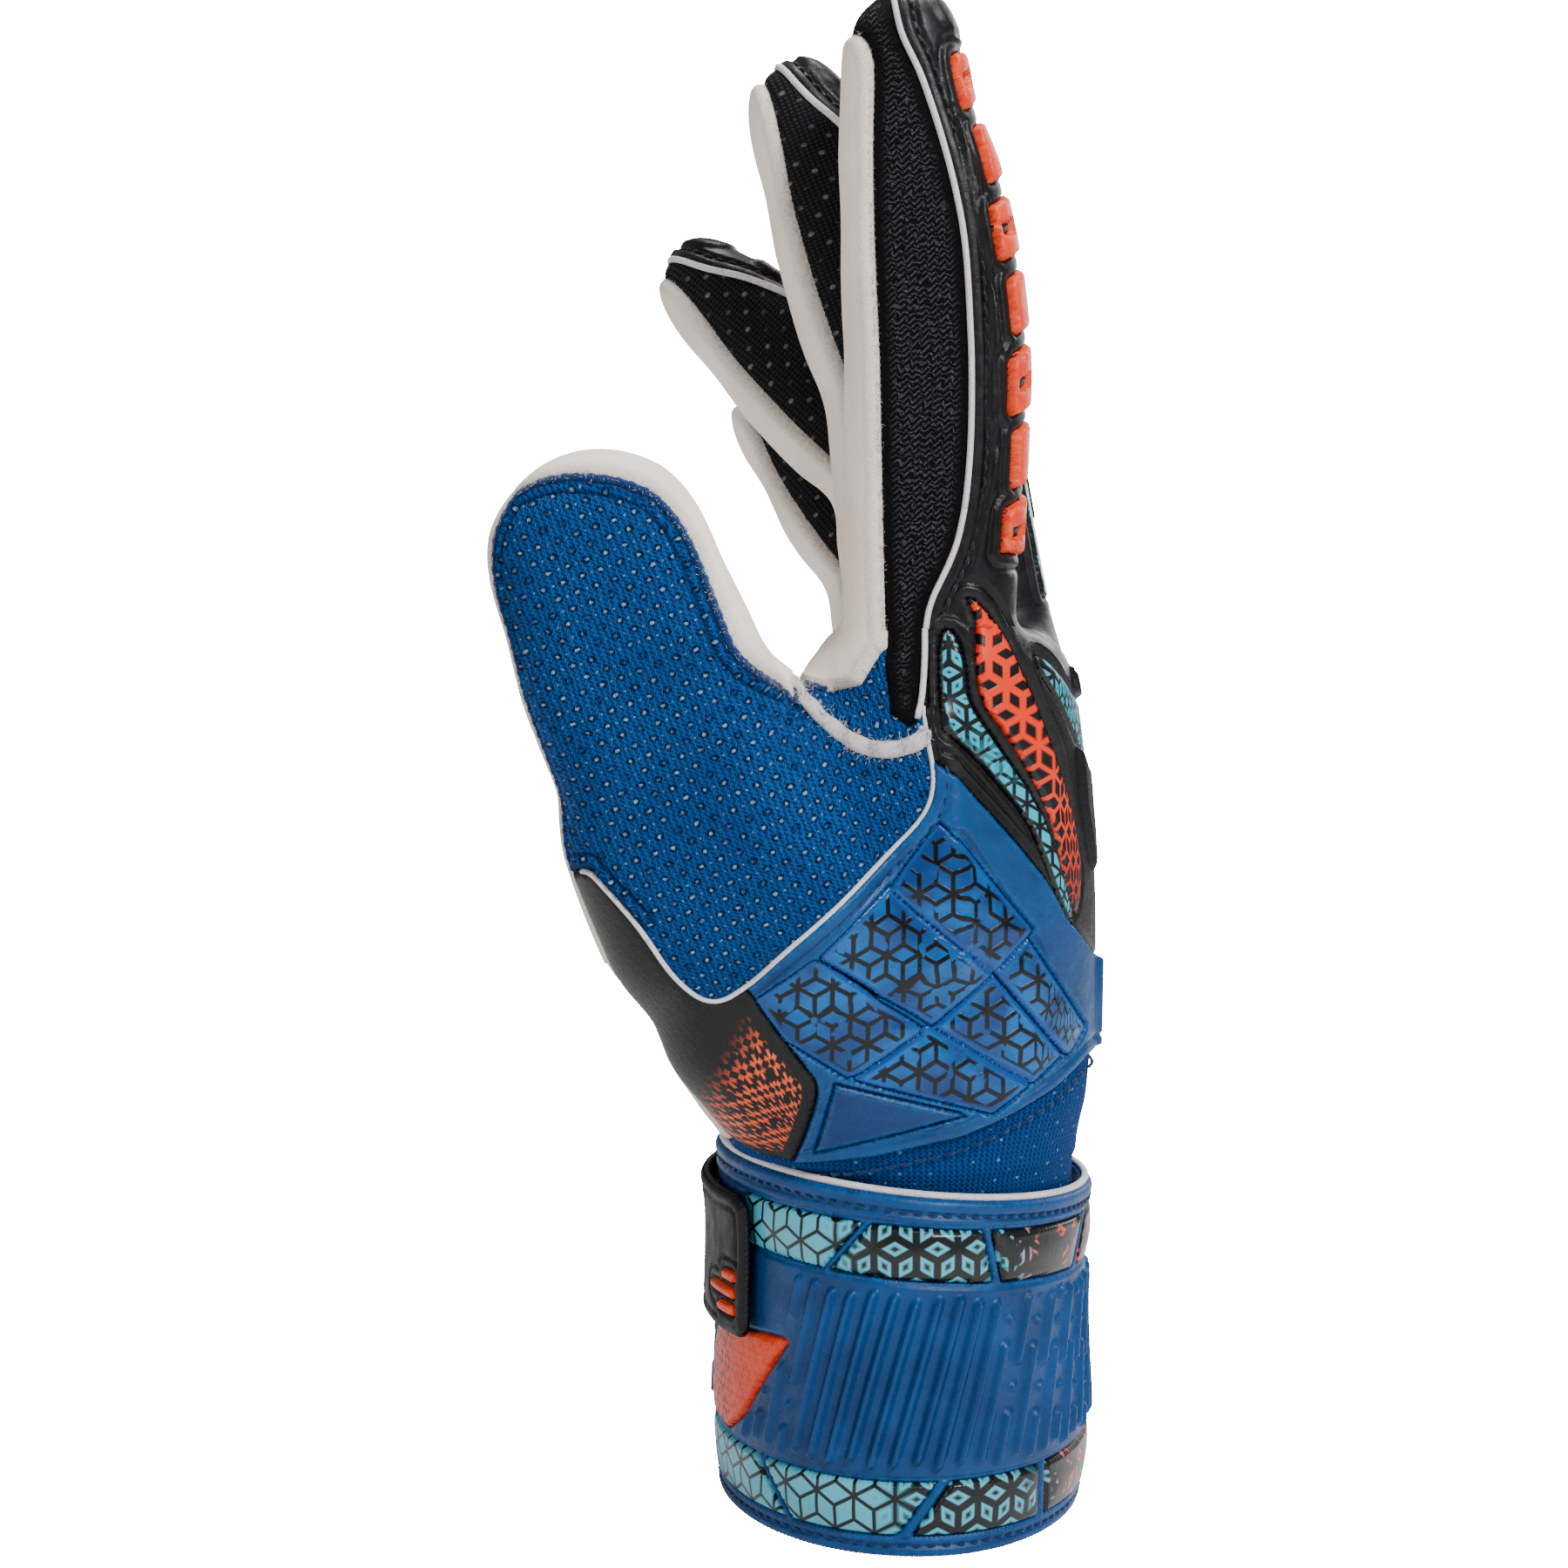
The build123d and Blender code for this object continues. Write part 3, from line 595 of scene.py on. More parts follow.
def thumb_mesh_field(p):
    """Negative on the thumb's mesh back, inside the latex rim that shows round it."""
    a, b, s = THUMB.local(p)
    end = THUMB.l1 + THUMB.l2
    width = THUMB.size(s)[1]
    beyond = np.maximum(s - (end - 19.0), 0)
    cap = (np.sqrt((b / 17.6) ** 2 + (beyond / 19.0) ** 2) - 1) * 17.0
    outline = smax(np.abs(b) - width / 2, cap, 3.0)
    inset = lerp(-0.6, 2.6, smooth((b + 12) / 20)) + 0.4 * smooth((s - end + 22) / 16)
    far_side = smooth((-4 - b) / 6)
    inset -= 6.5 * smooth((33 - s) / 17) * smooth((b - 4) / 8)
    inset -= 8.0 * smooth((end - 16 - s) / 10) * far_side
    return np.minimum(np.maximum(outline + inset, 2.6 + 3.0 * far_side - a), web_field(p))


# ---------------------------------------- seams on the hand, (x, z) seen from the thumb side

THUMB_SIDE = -15.0
MESH_EDGE = curve([(0.6, 142), (1.3, 136), (2.6, 128), (0.6, 122.2), (-6, 115.5), (-13, 108.8), (-22, 101),
                   (-28, 95.6),
                   (-33.4, 93.0), (-39, 97.2), (-45, 106), (-52, 114)], per=5)
GUSSET_EDGE = curve([(-28, 95.6), (-23, 88.0), (-18.6, 82.3), (-16.2, 78.2), (-17.6, 71), (-20.3, 62.9)],
                    per=4)
PALM_SIDE = ((-45, 144), (-20, 144), (-14, 142.0), (-8.6, 141.4), (-5.8, 144.5), (-4.8, 151), (-4.8, 175),
             (-45, 175))
WEB_MESH = ((-20.5, 144.6), (-15, 142.6), (-9, 143.8), (-5.4, 149.8), (-3.4, 149.8), (-3.4, 130),
            (-20.5, 130))
KNIT_SIDE = ((-4.8, 175), (-4.8, 151), (-5.2, 147), (-4.6, 142), (-4.5, 139), (-0.8, 136.4), (0.5, 140),
             (1.2, 148), (1.3, 175))
# the plate's lower seam and its border with the black upper part, each as height over x
PLATE_FOOT = ((-40, 80), (-36, 74), (-31, 67.5), (-26, 65), (-20, 64.2), (-7, 66.0), (7, 69.3), (16, 73.0),
              (23, 76.6), (29, 81.0), (36, 82.5))
PLATE_TOP = ((-30, 132), (1, 132), (4, 130.5), (11, 123.5), (16, 118), (21, 112), (25, 105.5), (30, 102),
             (36, 100))
CELLS = (
    ((3.4, 120.6), (18.0, 103.6), (12.2, 97.6), (-4.0, 110.8)),
    ((-5.0, 110.4), (11.2, 96.8), (2.3, 88.9), (-15.4, 100.4)),
    ((-17.1, 99.3), (-0.2, 87.6), (-11.0, 80.5), (-28.0, 91.0)),
    ((17.2, 102.2), (13.2, 97.2), (25.4, 82.8), (28.0, 86.4)),
    ((11.6, 96.0), (23.4, 82.2), (19.0, 78.6), (3.0, 88.4)),
    ((1.4, 87.6), (17.8, 77.8), (12.4, 73.9), (-9.6, 80.1)),
)
ARROW = ((-13.5, 79.2), (8.7, 73.3), (-16.4, 66.7))
CYAN_STRIP = curve([(3.6, 152), (3.4, 142), (4.2, 136.2), (9.8, 131.0), (18.4, 120.4), (24.6, 105.5),
                    (26.2, 106),
                    (20.8, 122.4), (12.8, 134.4), (8.6, 140.8), (7.9, 146), (6.4, 152)], closed=True, per=3)
CORAL_LEAF = curve([(7.9, 158.8), (9.5, 154.4), (9.4, 148), (10.2, 141.8), (12.6, 138.0), (17.6, 130.8),
                    (22.4, 121),
                    (26.2, 106), (27.8, 112), (26.4, 121.5), (23.8, 130), (20.4, 138.6), (17.0, 146),
                    (12.6, 154)],
                   closed=True, per=3)
KNUCKLE_INLAY = curve([(19.0, 148.8), (21.4, 148.0), (25.6, 143.8), (31.0, 137.0), (33.0, 130.0),
                       (29.4, 130.0),
                       (26.8, 135), (23.2, 141.4), (19.8, 146.4)], closed=True, per=3)
LEAF_GROOVE = ((3.6, 121.5), (7.2, 120.2), (20.5, 101.5), (23.4, 95.6), (16.8, 103.9))

SEAM_TOP = THUMB.o1 + THUMB.x1 * 5.5
SEAM_FOOT = np.array([-30.0, -24.0, 64.0])
SEAM_NORMAL = unit(np.cross(THUMB.y, SEAM_FOOT - SEAM_TOP))


def on_thumb_side(points, reach=THUMB_SIDE):
    def field(p):
        return np.maximum(polygon(p[:, 0], p[:, 2], points), p[:, 1] - reach)
    return field


def finger_row(y):
    """The x of the line through the knuckles, at y."""
    return np.interp(y, [d.o1[1] for d in FINGERS], [d.o1[0] + 0.5 for d in FINGERS])


def palm_field(p):
    x, y, z = p.T
    edge = lerp(-9.0, finger_row(y) - 5.2, smooth((z - 128) / 20))
    palm = np.maximum(x - edge, 4.0 * smooth((100 - z) / 20) - (p - SEAM_TOP) @ SEAM_NORMAL)
    palm = np.minimum(palm, np.maximum(polygon(x, z, PALM_SIDE), y + 15.0))
    return np.maximum(palm, -web_field(p))


def web_field(p):
    """Negative on the mesh that shows above the web's raw edge."""
    return np.maximum(polygon(p[:, 0], p[:, 2], WEB_MESH), p[:, 1] + 28.0)


def height_over(table, p):
    table = np.array(table)
    x, y = p[:, 0], p[:, 1]
    # on the little finger's side the seams come round from the back at the height they have there
    x = lerp(x, np.maximum(x, 18.0), smooth((y + 30) / 62))
    return np.interp(x, table[:, 0], table[:, 1])


def foot_field(p):
    return p[:, 2] - height_over(PLATE_FOOT, p)


def plate_field(p):
    dip = 5.0 * smooth((p[:, 0] - 22) / 8) * (1 - (p[:, 1] / 45.0) ** 2)
    return p[:, 2] - (height_over(PLATE_TOP, p) - dip)


def little_gusset_field(p):
    x, y, z = p.T
    half = lerp(9.0, 3.3, smooth((z - 122) / 18))
    middle = lerp(-1.0, 1.3, smooth((z - 122) / 18))
    return np.maximum(np.abs(x - middle) - half, 20.0 - y)


def finger_gusset_field(p):
    """What is left of the fingers' gussets between their roots."""
    return np.maximum(np.abs(p[:, 0] - finger_row(p[:, 1]) + 2.0) - 3.2, 140.0 - p[:, 2])


# ---------------------------------------- cut the skin into panels

HAND_FOOT = 55.5  # where the skin ends, inside the cuff
CELL_GROWTH = 0.85  # how far each printed cell reaches beyond its outline
panels = {}  # name: (mesh, kind)


def foot_cut(p):
    return p[:, 2] - HAND_FOOT


def take(name, kind, source, f):
    """Cuts a panel out of a mesh where f is negative, and returns what is left."""
    part, left = carve(source, f)
    panels[name] = (part, kind)
    return left


mesh_outline = np.concatenate([MESH_EDGE, [(-80, 120), (-80, 170), (0.6, 170)]])
gusset_outline = np.concatenate([GUSSET_EDGE[::-1], MESH_EDGE[-21:], [(-80, 114), (-80, 60)]])
mesh_edge_field = on_thumb_side(mesh_outline)
gusset_field = on_thumb_side(gusset_outline, -4.0)
points, quads = surface_net(skin_field, (-80, -70, 53), (44, 58, 264), GRID)
points = SKIN.project(points, 2)
faces = triangulate(points, quads)
_, rest = carve((relax(points, faces, 3), faces), foot_cut)
cut_fields = [foot_cut]
for digit in DIGITS.values():
    zone, cut = digit_zone(digit), cut_zone(digit)
    cut_fields += [zone, cut]
    own, rest = carve(rest, zone)
    for part, mesh in zip(("knuckle", "tip"), carve(own, cut)):
        label = f"{digit.name}_{part}"
        if digit is THUMB:
            back, front = carve(mesh, thumb_mesh_field)
            if part == "knuckle":
                back = take("thumb_knuckle_gusset", "printed", back, gusset_field)
            panels[label + "_mesh"] = (back, "mesh")
            panels[label + "_latex"] = (front, "latex")
            continue
        mesh = take(label + "_latex", "latex", mesh, front_field(digit))
        side = take(label + "_back", "back", mesh, back_field(digit))
        panels[label + "_gusset"] = (side, "rib" if digit.name == "index" else "dots")

for name, kind, field in (
    ("wrist_knit", "wrist", foot_field), ("hand_knit", "rib", on_thumb_side(KNIT_SIDE)),
    ("hand_latex", "latex", palm_field), ("hand_mesh", "mesh", mesh_edge_field),
    ("thumb_gusset", "printed", gusset_field), ("little_gusset", "dots", little_gusset_field),
    ("crotch_gusset", "dots", finger_gusset_field),
):
    rest = take(name, kind, rest, field)
plate, back = carve(rest, plate_field)
for number, outline in enumerate(CELLS):
    plate = take(f"cell_{number + 1}", "cell", plate, lambda p: on_thumb_side(outline, 0.0)(p) - CELL_GROWTH)
plate = take("arrow", "arrow", plate, on_thumb_side(ARROW, 0.0))
for name, kind, outline in (("cyan_strip", "cyan", CYAN_STRIP), ("coral_leaf", "coral", CORAL_LEAF),
                            ("knuckle_inlay", "cyan", KNUCKLE_INLAY)):
    back = take(name, kind, back, on_thumb_side(outline))
panels["hand_plate"] = (plate, "plate")
panels["hand_back"] = (back, "back")

# ---------------------------------------- padding a panel into a closed piece

# kind: (how proud its outer face stands, radius of its rounded edge, depth of its inner face, material slot)
PADDING = {
    "latex": (1.9, 1.9, 1.3, "latex"),
    "mesh": (0.7, 1.0, 1.0, "mesh_blue"),
    "rib": (0.8, 1.6, 1.0, "knit_black"),
    "dots": (0.7, 1.4, 1.0, "knit_black"),
    "back": (1.1, 1.2, 1.0, "moulded_black"),
    "plate": (1.5, 0.7, 1.0, "moulded_blue"),
    "cell": (1.05, 0.55, 1.0, "cell_print"),
    "arrow": (1.7, 0.9, 1.0, "arrow_blue"),
    "cyan": (1.2, 0.7, 1.0, "cyan_print"),
    "coral": (1.2, 0.7, 1.0, "coral_rubber"),
    "chevron": (2.0, 0.8, 1.0, "coral_rubber"),
    "printed": (0.9, 1.0, 1.0, "printed_gusset"),
    "wrist": (0.4, 0.9, 1.2, "knit_blue"),
    "band": (1.2, 1.1, 2.6, "band_blue"),
    "band_cell": (1.25, 0.6, 2.0, "band_print"),
    "band_arrow": (1.5, 0.7, 2.0, "coral_rubber"),
    "tab": (1.3, 1.0, 1.0, "tab_black"),
    "lining": (0.2, 0.8, 0.8, "lining"),
}
SEAM_STEP = 0.4
SPLIT_NEAR = 2.4
builds = []  # every padded panel, before its mesh is made


def seam_samples(all_panels, cuts):
    """Points along every seam, leaving out the cuts that only divide one panel between two bodies."""
    points = []
    for verts, faces in all_panels:
        if not len(faces):
            continue
        edges = border_edges(faces)
        a, b = verts[edges[:, 0]], verts[edges[:, 1]]
        middle = (a + b) / 2
        keep = np.ones(len(edges), bool)
        for cut in cuts:
            keep &= np.abs(cut(middle)) > 0.12
        a, b = a[keep], b[keep]
        length = np.linalg.norm(b - a, axis=1)
        for k in range(int(np.ceil(length.max(initial=0) / SEAM_STEP)) + 1):
            t = (k * SEAM_STEP / np.maximum(length, 1e-6))[:, None]
            points.append((a + (b - a) * t)[t[:, 0] <= 1])
        points.append(b)
    points = np.concatenate(points)
    tree = KDTree(len(points))
    for i, p in enumerate(points):
        tree.insert(p, i)
    tree.balance()
    return tree


def distance_to(tree, points, far=6.0):
    out = np.full(len(points), far)
    for i, p in enumerate(points):
        found = tree.find(p)[2]
        if found is not None and found < far:
            out[i] = found
    return out


def dome(edge, proud, radius):
    """Height above the seam, rounded like a quarter circle over its radius."""
    t = 1 - np.clip(edge / radius, 0, 1)
    return proud * np.sqrt(np.maximum(1 - t * t, 0))


def pad(name, mesh, kind, tree, relief=None, detail=None, surface=SKIN, shape=None):
    """Turns a panel of the skin into a closed padded piece, and queues it."""
    verts, faces = mesh
    if not len(faces):
        return
    proud, radius, depth, _ = shape or PADDING[kind]
    coarse, coarse_faces = verts, faces
    border = border_edges(faces)
    chains = {tuple(e): [int(e[0]), int(e[1])] for e in border.tolist()}
    levels = 2 if detail else 1
    for level in range(levels):
        near = distance_to(tree, verts) < SPLIT_NEAR
        if detail:
            wanted = detail(verts)
            near = wanted | near if level == 0 else wanted & near
        verts, faces, mids = split_edges(verts, faces, near, surface)
        for key, chain in chains.items():
            longer = [chain[0]]
            for i, j in zip(chain, chain[1:]):
                m = mids.get((min(i, j), max(i, j)))
                longer += [j] if m is None else [m, j]
            chains[key] = longer
    edge = distance_to(tree, verts)
    normal = surface.normal(verts)
    height = dome(edge, proud, radius)
    if relief:
        height = height + relief(verts, edge) * smooth(edge / 0.9)
    outer = verts + normal * height[:, None]
    inner = coarse - surface.normal(coarse) * depth
    n = len(outer)
    rim = []
    for (i, j), chain in chains.items():
        m = len(chain) // 2
        a, b = n + i, n + j
        rim += [(chain[k + 1], chain[k], a) for k in range(m)]
        rim.append((chain[m], a, b))
        rim += [(chain[k + 1], chain[k], b) for k in range(m, len(chain) - 1)]
    all_faces = np.concatenate([faces, coarse_faces[:, ::-1] + n, np.array(rim, int).reshape(-1, 3)])
    builds.append(dict(
        name=name, kind=kind, verts=np.concatenate([outer, inner]), faces=all_faces, outer_faces=faces,
                       count=n,
        rest=np.concatenate([verts, coarse]), edge=np.concatenate([edge, np.zeros(len(coarse))]),
        surface=surface,
    ))


def joined_normals():
    """Vertex normals that agree where one panel was cut between two bodies."""
    sums = []
    for b in builds:
        v, f = b["verts"], b["outer_faces"]
        across = np.cross(v[f[:, 1]] - v[f[:, 0]], v[f[:, 2]] - v[f[:, 0]])
        total = np.zeros((b["count"], 3))
        for k in range(3):
            for c in range(3):
                total[:, c] += np.bincount(f[:, k], across[:, c], b["count"])
        sums.append(total)
    kinds = {k: i for i, k in enumerate(sorted(PADDING))}
    keys = np.concatenate([
        np.column_stack([np.round(b["verts"][:b["count"]] * 50),
                         np.full(b["count"], kinds[b["kind"]])]) for b in builds
    ]).astype(np.int64)
    _, inverse = np.unique(keys, axis=0, return_inverse=True)
    inverse = inverse.reshape(-1)
    flat = np.concatenate(sums)
    merged = np.stack([np.bincount(inverse, flat[:, c])[inverse] for c in range(3)], 1)
    merged /= np.maximum(np.linalg.norm(merged, axis=1), 1e-12)[:, None]
    start = 0
    for b in builds:
        b["shade"] = merged[start:start + b["count"]]
        start += b["count"]


# ---------------------------------------- Blender meshes

MATERIALS = {}


def add_mesh(name, verts, faces, kind, flow=None, rest=None, normals=None):
    """A mesh object in metres; flow and rest are millimetre coordinates that its material reads."""
    mesh = bpy.data.meshes.new(name)
    mesh.vertices.add(len(verts))
    mesh.vertices.foreach_set("co", (np.asarray(verts) * 0.001).astype(np.float32).ravel())
    mesh.loops.add(faces.size)
    mesh.loops.foreach_set("vertex_index", faces.astype(np.int32).ravel())
    mesh.polygons.add(len(faces))
    mesh.polygons.foreach_set("loop_start", np.arange(0, faces.size, faces.shape[1], dtype=np.int32))
    mesh.update(calc_edges=True)
    mesh.validate()
    mesh.shade_smooth()
    if normals is not None:
        mesh.normals_split_custom_set_from_vertices([tuple(v) for v in normals])
    for label, values in (("flow", flow), ("rest", rest)):
        layer = mesh.attributes.new(label, "FLOAT_VECTOR", "POINT")
        layer.data.foreach_set("vector",
                               np.asarray(verts if values is None else values).astype(np.float32).ravel())
    obj = bpy.data.objects.new(name, mesh)
    bpy.context.scene.collection.objects.link(obj)
    mesh.materials.append(MATERIALS[kind])
    return obj


def attach(obj, name):
    """Parents a piece to the hand's body, or, for a digit's knuckle or tip, works out its span and bodies and
    only bakes its transform.
    """
    first, part = (name.split("_") + [""])[:2]
    if first not in DIGITS or part not in ("knuckle", "tip"):
        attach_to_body(obj, "hand")
        return
    digit, zone = DIGITS[first], ZONES[first]
    direction = THUMB_WAY if digit is THUMB else digit.z1
    span = zone[:2] if part == "knuckle" else zone[3:]
    start, end = (tuple((digit.o1 + direction * s) * 0.001) for s in span)
    a, b = ("hand", f"{first}_lower") if part == "knuckle" else (f"{first}_lower", f"{first}_upper")
    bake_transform(obj)


# ---------------------------------------- relief on the skin


def ridge(d, centre, half):
    """A rounded bead, 1 at its centre."""
    return smooth(1 - np.abs(d - centre) / half)


def finger_wrap(digit, p):
    """Arc length from the back's middle line towards the thumb side, and the length along the digit."""
    a, b, s = digit.local(p)
    depth, width, middle = digit.size(s)
    return np.arctan2(-b, (a - middle) * width / depth) * 0.62 * width, s


CHEVRON_PITCH = 12.2
CHEVRON_START = 16.0
CHEVRON_END = 98.0
CHEVRON_REACH = 11.2


def chevron_field(p):
    """Negative inside the raised coral chevrons down the index finger's back."""
    wrap, s = finger_wrap(DIGITS["index"], p)
    reach = np.abs(wrap)
    line = s - CHEVRON_START + reach * 0.34
    place = np.mod(line, CHEVRON_PITCH) - CHEVRON_PITCH / 2
    number = np.floor(line / CHEVRON_PITCH)
    half = lerp(4.9, 4.5, smooth(s / 100))
    outer = CHEVRON_REACH - 1.3 * np.mod(number, 2) - 2.0 * smooth((s - 70) / 30)
    field = smax(np.abs(place) - half, np.maximum(reach - outer, 0.9 - reach), 1.2)
    slot = np.maximum(np.abs(place) - 0.9, np.maximum(4.6 - reach, reach - outer + 1.7))
    field = np.where(np.mod(number, 2) == 0, np.maximum(field, -slot), field)
    return np.maximum(field, np.maximum(CHEVRON_START - s, s - CHEVRON_END))


def leaf(u, v, a, b, width):
    """A long leaf from point a to b: negative inside."""
    a, b = np.array(a, float), np.array(b, float)
    d = b - a
    length = np.linalg.norm(d)
    t = ((u - a[0]) * d[0] + (v - a[1]) * d[1]) / length**2
    off = np.abs((u - a[0]) * d[1] - (v - a[1]) * d[0]) / length
    return off - width * np.clip(4 * t * (1 - t), 0, 1) ** 0.7 + 3 * np.maximum(np.abs(t - 0.5) - 0.5, 0)


def finger_back_relief(digit):
    def relief(p, edge):
        wrap, s = finger_wrap(digit, p)
        side = np.abs(wrap)
        out = -0.75 * ridge(edge, 2.6, 0.9)
        scale = (digit.l1 + digit.l2) / INDEX_LENGTH
        t = s / scale
        for low, high, at in ((32, 60, 14.2), (58, 90, 13.4)):
            out += 1.0 * smooth(-leaf(side, t, (at, low), (at - 0.8, high), 1.5) / 0.8)
        out += 0.6 * smooth(-leaf(side, t, (16.5, 12), (12.5, 36), 1.3) / 0.8)
        # a rounded cap over the nail
        out += 0.7 * smooth(-(np.hypot((side - 3.5) / 7.5, (t - 104) / 5.2) - 1) * 5.0 / 1.2)
        if digit.name != "index":
            bar = np.mod(t + side * 0.5, 17.0) - 8.5
            ends = smooth((t - 14) / 3) * smooth((96 - t) / 3)
            out += 0.8 * smooth(-np.maximum(np.abs(bar) - 5.6, side - 8.8) / 0.9) * ends
        return out
    return relief


BACK_LEAVES = ((-30, 112, -33, 148, 3.4), (-12, 108, -12, 150, 4.2), (8, 108, 12, 148, 4.2),
               (28, 112, 34, 142, 3.6))


def back_relief(p, edge):
    x, y, z = p.T
    out = 0.75 * ridge(edge, 1.5, 0.9) * smooth((-y - 36) / 6)
    # knuckle pads and long channels across the back of the hand
    flat = smooth((x - 20) / 6)
    for y0, z0, y1, z1, w in BACK_LEAVES:
        out += 1.1 * flat * smooth(-leaf(y, z, (y0, z0), (y1, z1), w) / 1.1)
    for y0, z0, y1, z1 in ((-22, 104, -22, 142), (-2, 103, 0, 146), (18, 104, 23, 144)):
        out -= 0.6 * flat * smooth(-leaf(y, z, (y0, z0), (y1, z1), 1.4) / 0.7)
    return out


def mesh_border(p):
    return polygon(p[:, 0], p[:, 2], mesh_outline)


def plate_relief(p, edge):
    x, y, z = p.T
    thumb_side = smooth((-y - 38) / 5)
    out = -1.0 * thumb_side * smooth(-polygon(x, z, LEAF_GROOVE) / 0.8)
    out -= 0.5 * ridge(foot_field(p), 2.4, 0.8)
    # ribs fan out across the back of the hand
    flat = smooth((x - 18) / 8)
    for y0 in (-26, -9, 9, 26):
        out += 1.0 * flat * smooth(-leaf(y, z, (y0 * 0.8, 80), (y0, 106 - 6 * abs(y0) / 26), 3.2) / 1.0)
    out -= 0.45 * thumb_side * ridge(mesh_border(p), 2.3, 0.8)
    return out


def cell_relief(p, edge):
    return 0.45 * smooth(edge / 4.5)


def mesh_relief(p, edge):
    """The mesh's stitched hem: a thread groove inside its raw edge."""
    wobble = 0.35 * np.sin(p[:, 2] * 1.9 + p[:, 0] * 0.7)
    groove = -0.42 * ridge(edge, 2.7 + 0.25 * wobble, 0.75)
    return groove + 0.22 * ridge(edge, 1.4, 1.0) * (1 + 0.6 * np.sin(p[:, 2] * 4.1))


def latex_relief(p, edge):
    """Soft dents."""
    return 0.22 * np.sin(p[:, 2] * 0.21 + p[:, 1] * 0.11) * np.sin(p[:, 0] * 0.17 + p[:, 2] * 0.07)


def knit_relief(p, edge):
    return 0.16 * np.sin(p[:, 2] * 0.55 + 1.7 * np.sin(p[:, 2] * 0.13)) * smooth((edge - 1.5) / 3)


def anywhere(p):
    return np.ones(len(p), bool)


def on_index_side(p):
    return p[:, 1] < DIGITS["index"].o1[1] - 1.0


def on_thumb_face(p):
    return (p[:, 1] < -34) | (p[:, 0] > 20)


def knuckle_patch_field(p):
    """Negative on the printed patch on the thumb side of the middle finger's knuckle."""
    wrap, s = finger_wrap(DIGITS["middle"], p)
    return np.maximum(np.abs(wrap - 5.2) - 3.0, np.maximum(5.0 - s, s - 40.0))


# the prints and the chevrons leave the fingers' backs
for back, name, kind, field in (
    ("index_knuckle_back", "index_knuckle_leaf", "coral", on_thumb_side(CORAL_LEAF)),
    ("index_knuckle_back", "index_knuckle_chevrons", "chevron", chevron_field),
    ("index_tip_back", "index_tip_chevrons", "chevron", chevron_field),
    ("middle_knuckle_back", "middle_knuckle_patch", "cyan", knuckle_patch_field),
    ("middle_tip_back", "middle_tip_patch", "cyan", knuckle_patch_field),
):
    panels[back] = (take(name, kind, panels[back][0], field), "back")

seams = seam_samples([mesh for mesh, _ in panels.values()], cut_fields)


def thumb_hem(p, edge):
    return mesh_relief(p, np.where(way(THUMB, p) > 4, edge, NO_EDGE))


RELIEF = {"plate": (plate_relief, on_thumb_face), "cell": (cell_relief, anywhere),
          "mesh": (thumb_hem, anywhere),
          "latex": (latex_relief, None), "rib": (knit_relief, None), "arrow": (cell_relief, anywhere)}
for name, (panel_mesh, kind) in panels.items():
    relief, detail = RELIEF.get(kind, (None, None))
    if kind == "back":
        first = name.split("_")[0]
        relief = finger_back_relief(DIGITS[first]) if first in DIGITS else back_relief
        detail = on_index_side if first == "index" else on_thumb_face if first == "hand" else anywhere
    pad(name, panel_mesh, kind, seams, relief, detail)


# ---------------------------------------- the cuff


def sleeve_mesh(field, low, high, columns, rows):
    """A triangle mesh of a sleeve-like surface round the z axis."""
    angles = np.linspace(0, 2 * math.pi, columns, endpoint=False)
    heights = np.linspace(low, high, rows)
    a, z = np.meshgrid(angles, heights, indexing="ij")
    points = np.column_stack([33 * np.cos(a).ravel(), 45 * np.sin(a).ravel(), z.ravel()])
    surface = Surface(field)
    for _ in range(3):
        height = points[:, 2].copy()
        points = surface.project(points, 1)
        points[:, 2] = height
    i, j = np.meshgrid(np.arange(columns), np.arange(rows - 1), indexing="ij")
    i, j = i.ravel(), j.ravel()
    k = (i + 1) % columns
    quads = np.stack([i * rows + j, k * rows + j, k * rows + j + 1, i * rows + j + 1], 1)
    return points, np.concatenate([quads[:, [0, 1, 2]], quads[:, [0, 2, 3]]])


def round_cuff(p):
    """Arc length round the cuff from its thumb side: more to the back of the hand, less to the palm."""
    turn = np.arctan2(p[:, 0] / CUFF_HALF_DEPTH, -p[:, 1] / CUFF_HALF_WIDTH)
    return np.interp(turn, ARC[0], ARC[1])


def arc_table():
    """Angles round the cuff, and the arc length at each from the thumb side."""
    turns = np.linspace(-math.pi, math.pi, 361)
    outline = np.column_stack([CUFF_HALF_DEPTH * np.sin(turns), -CUFF_HALF_WIDTH * np.cos(turns)])
    arc = np.concatenate([[0], np.cumsum(np.linalg.norm(np.diff(outline, axis=0), axis=1))])
    return turns, arc - np.interp(0.0, turns, arc)


ARC = arc_table()
HALF_ROUND = ARC[1][-1]


def cuff_top(p):
    """Negative below the cuff's top edge, which is highest at the palm."""
    return p[:, 2] - (59.4 - 3.2 * p[:, 0] / CUFF_HALF_DEPTH)


def slanted(u0, u1, z0, z1, lean0, lean1):
    """A four-sided field in arc length and height, whose ends may lean."""
    outline = [(u0, z0), (u1, z0), (u1 + lean1, z1), (u0 + lean0, z1)]

    def field(p):
        rise = cuff_rise(p) if z0 > 30 else 0.0
        return polygon(round_cuff(p), p[:, 2] - rise, outline)
    return field


def cuff_rise(p):
    return -2.6 * p[:, 0] / CUFF_HALF_DEPTH


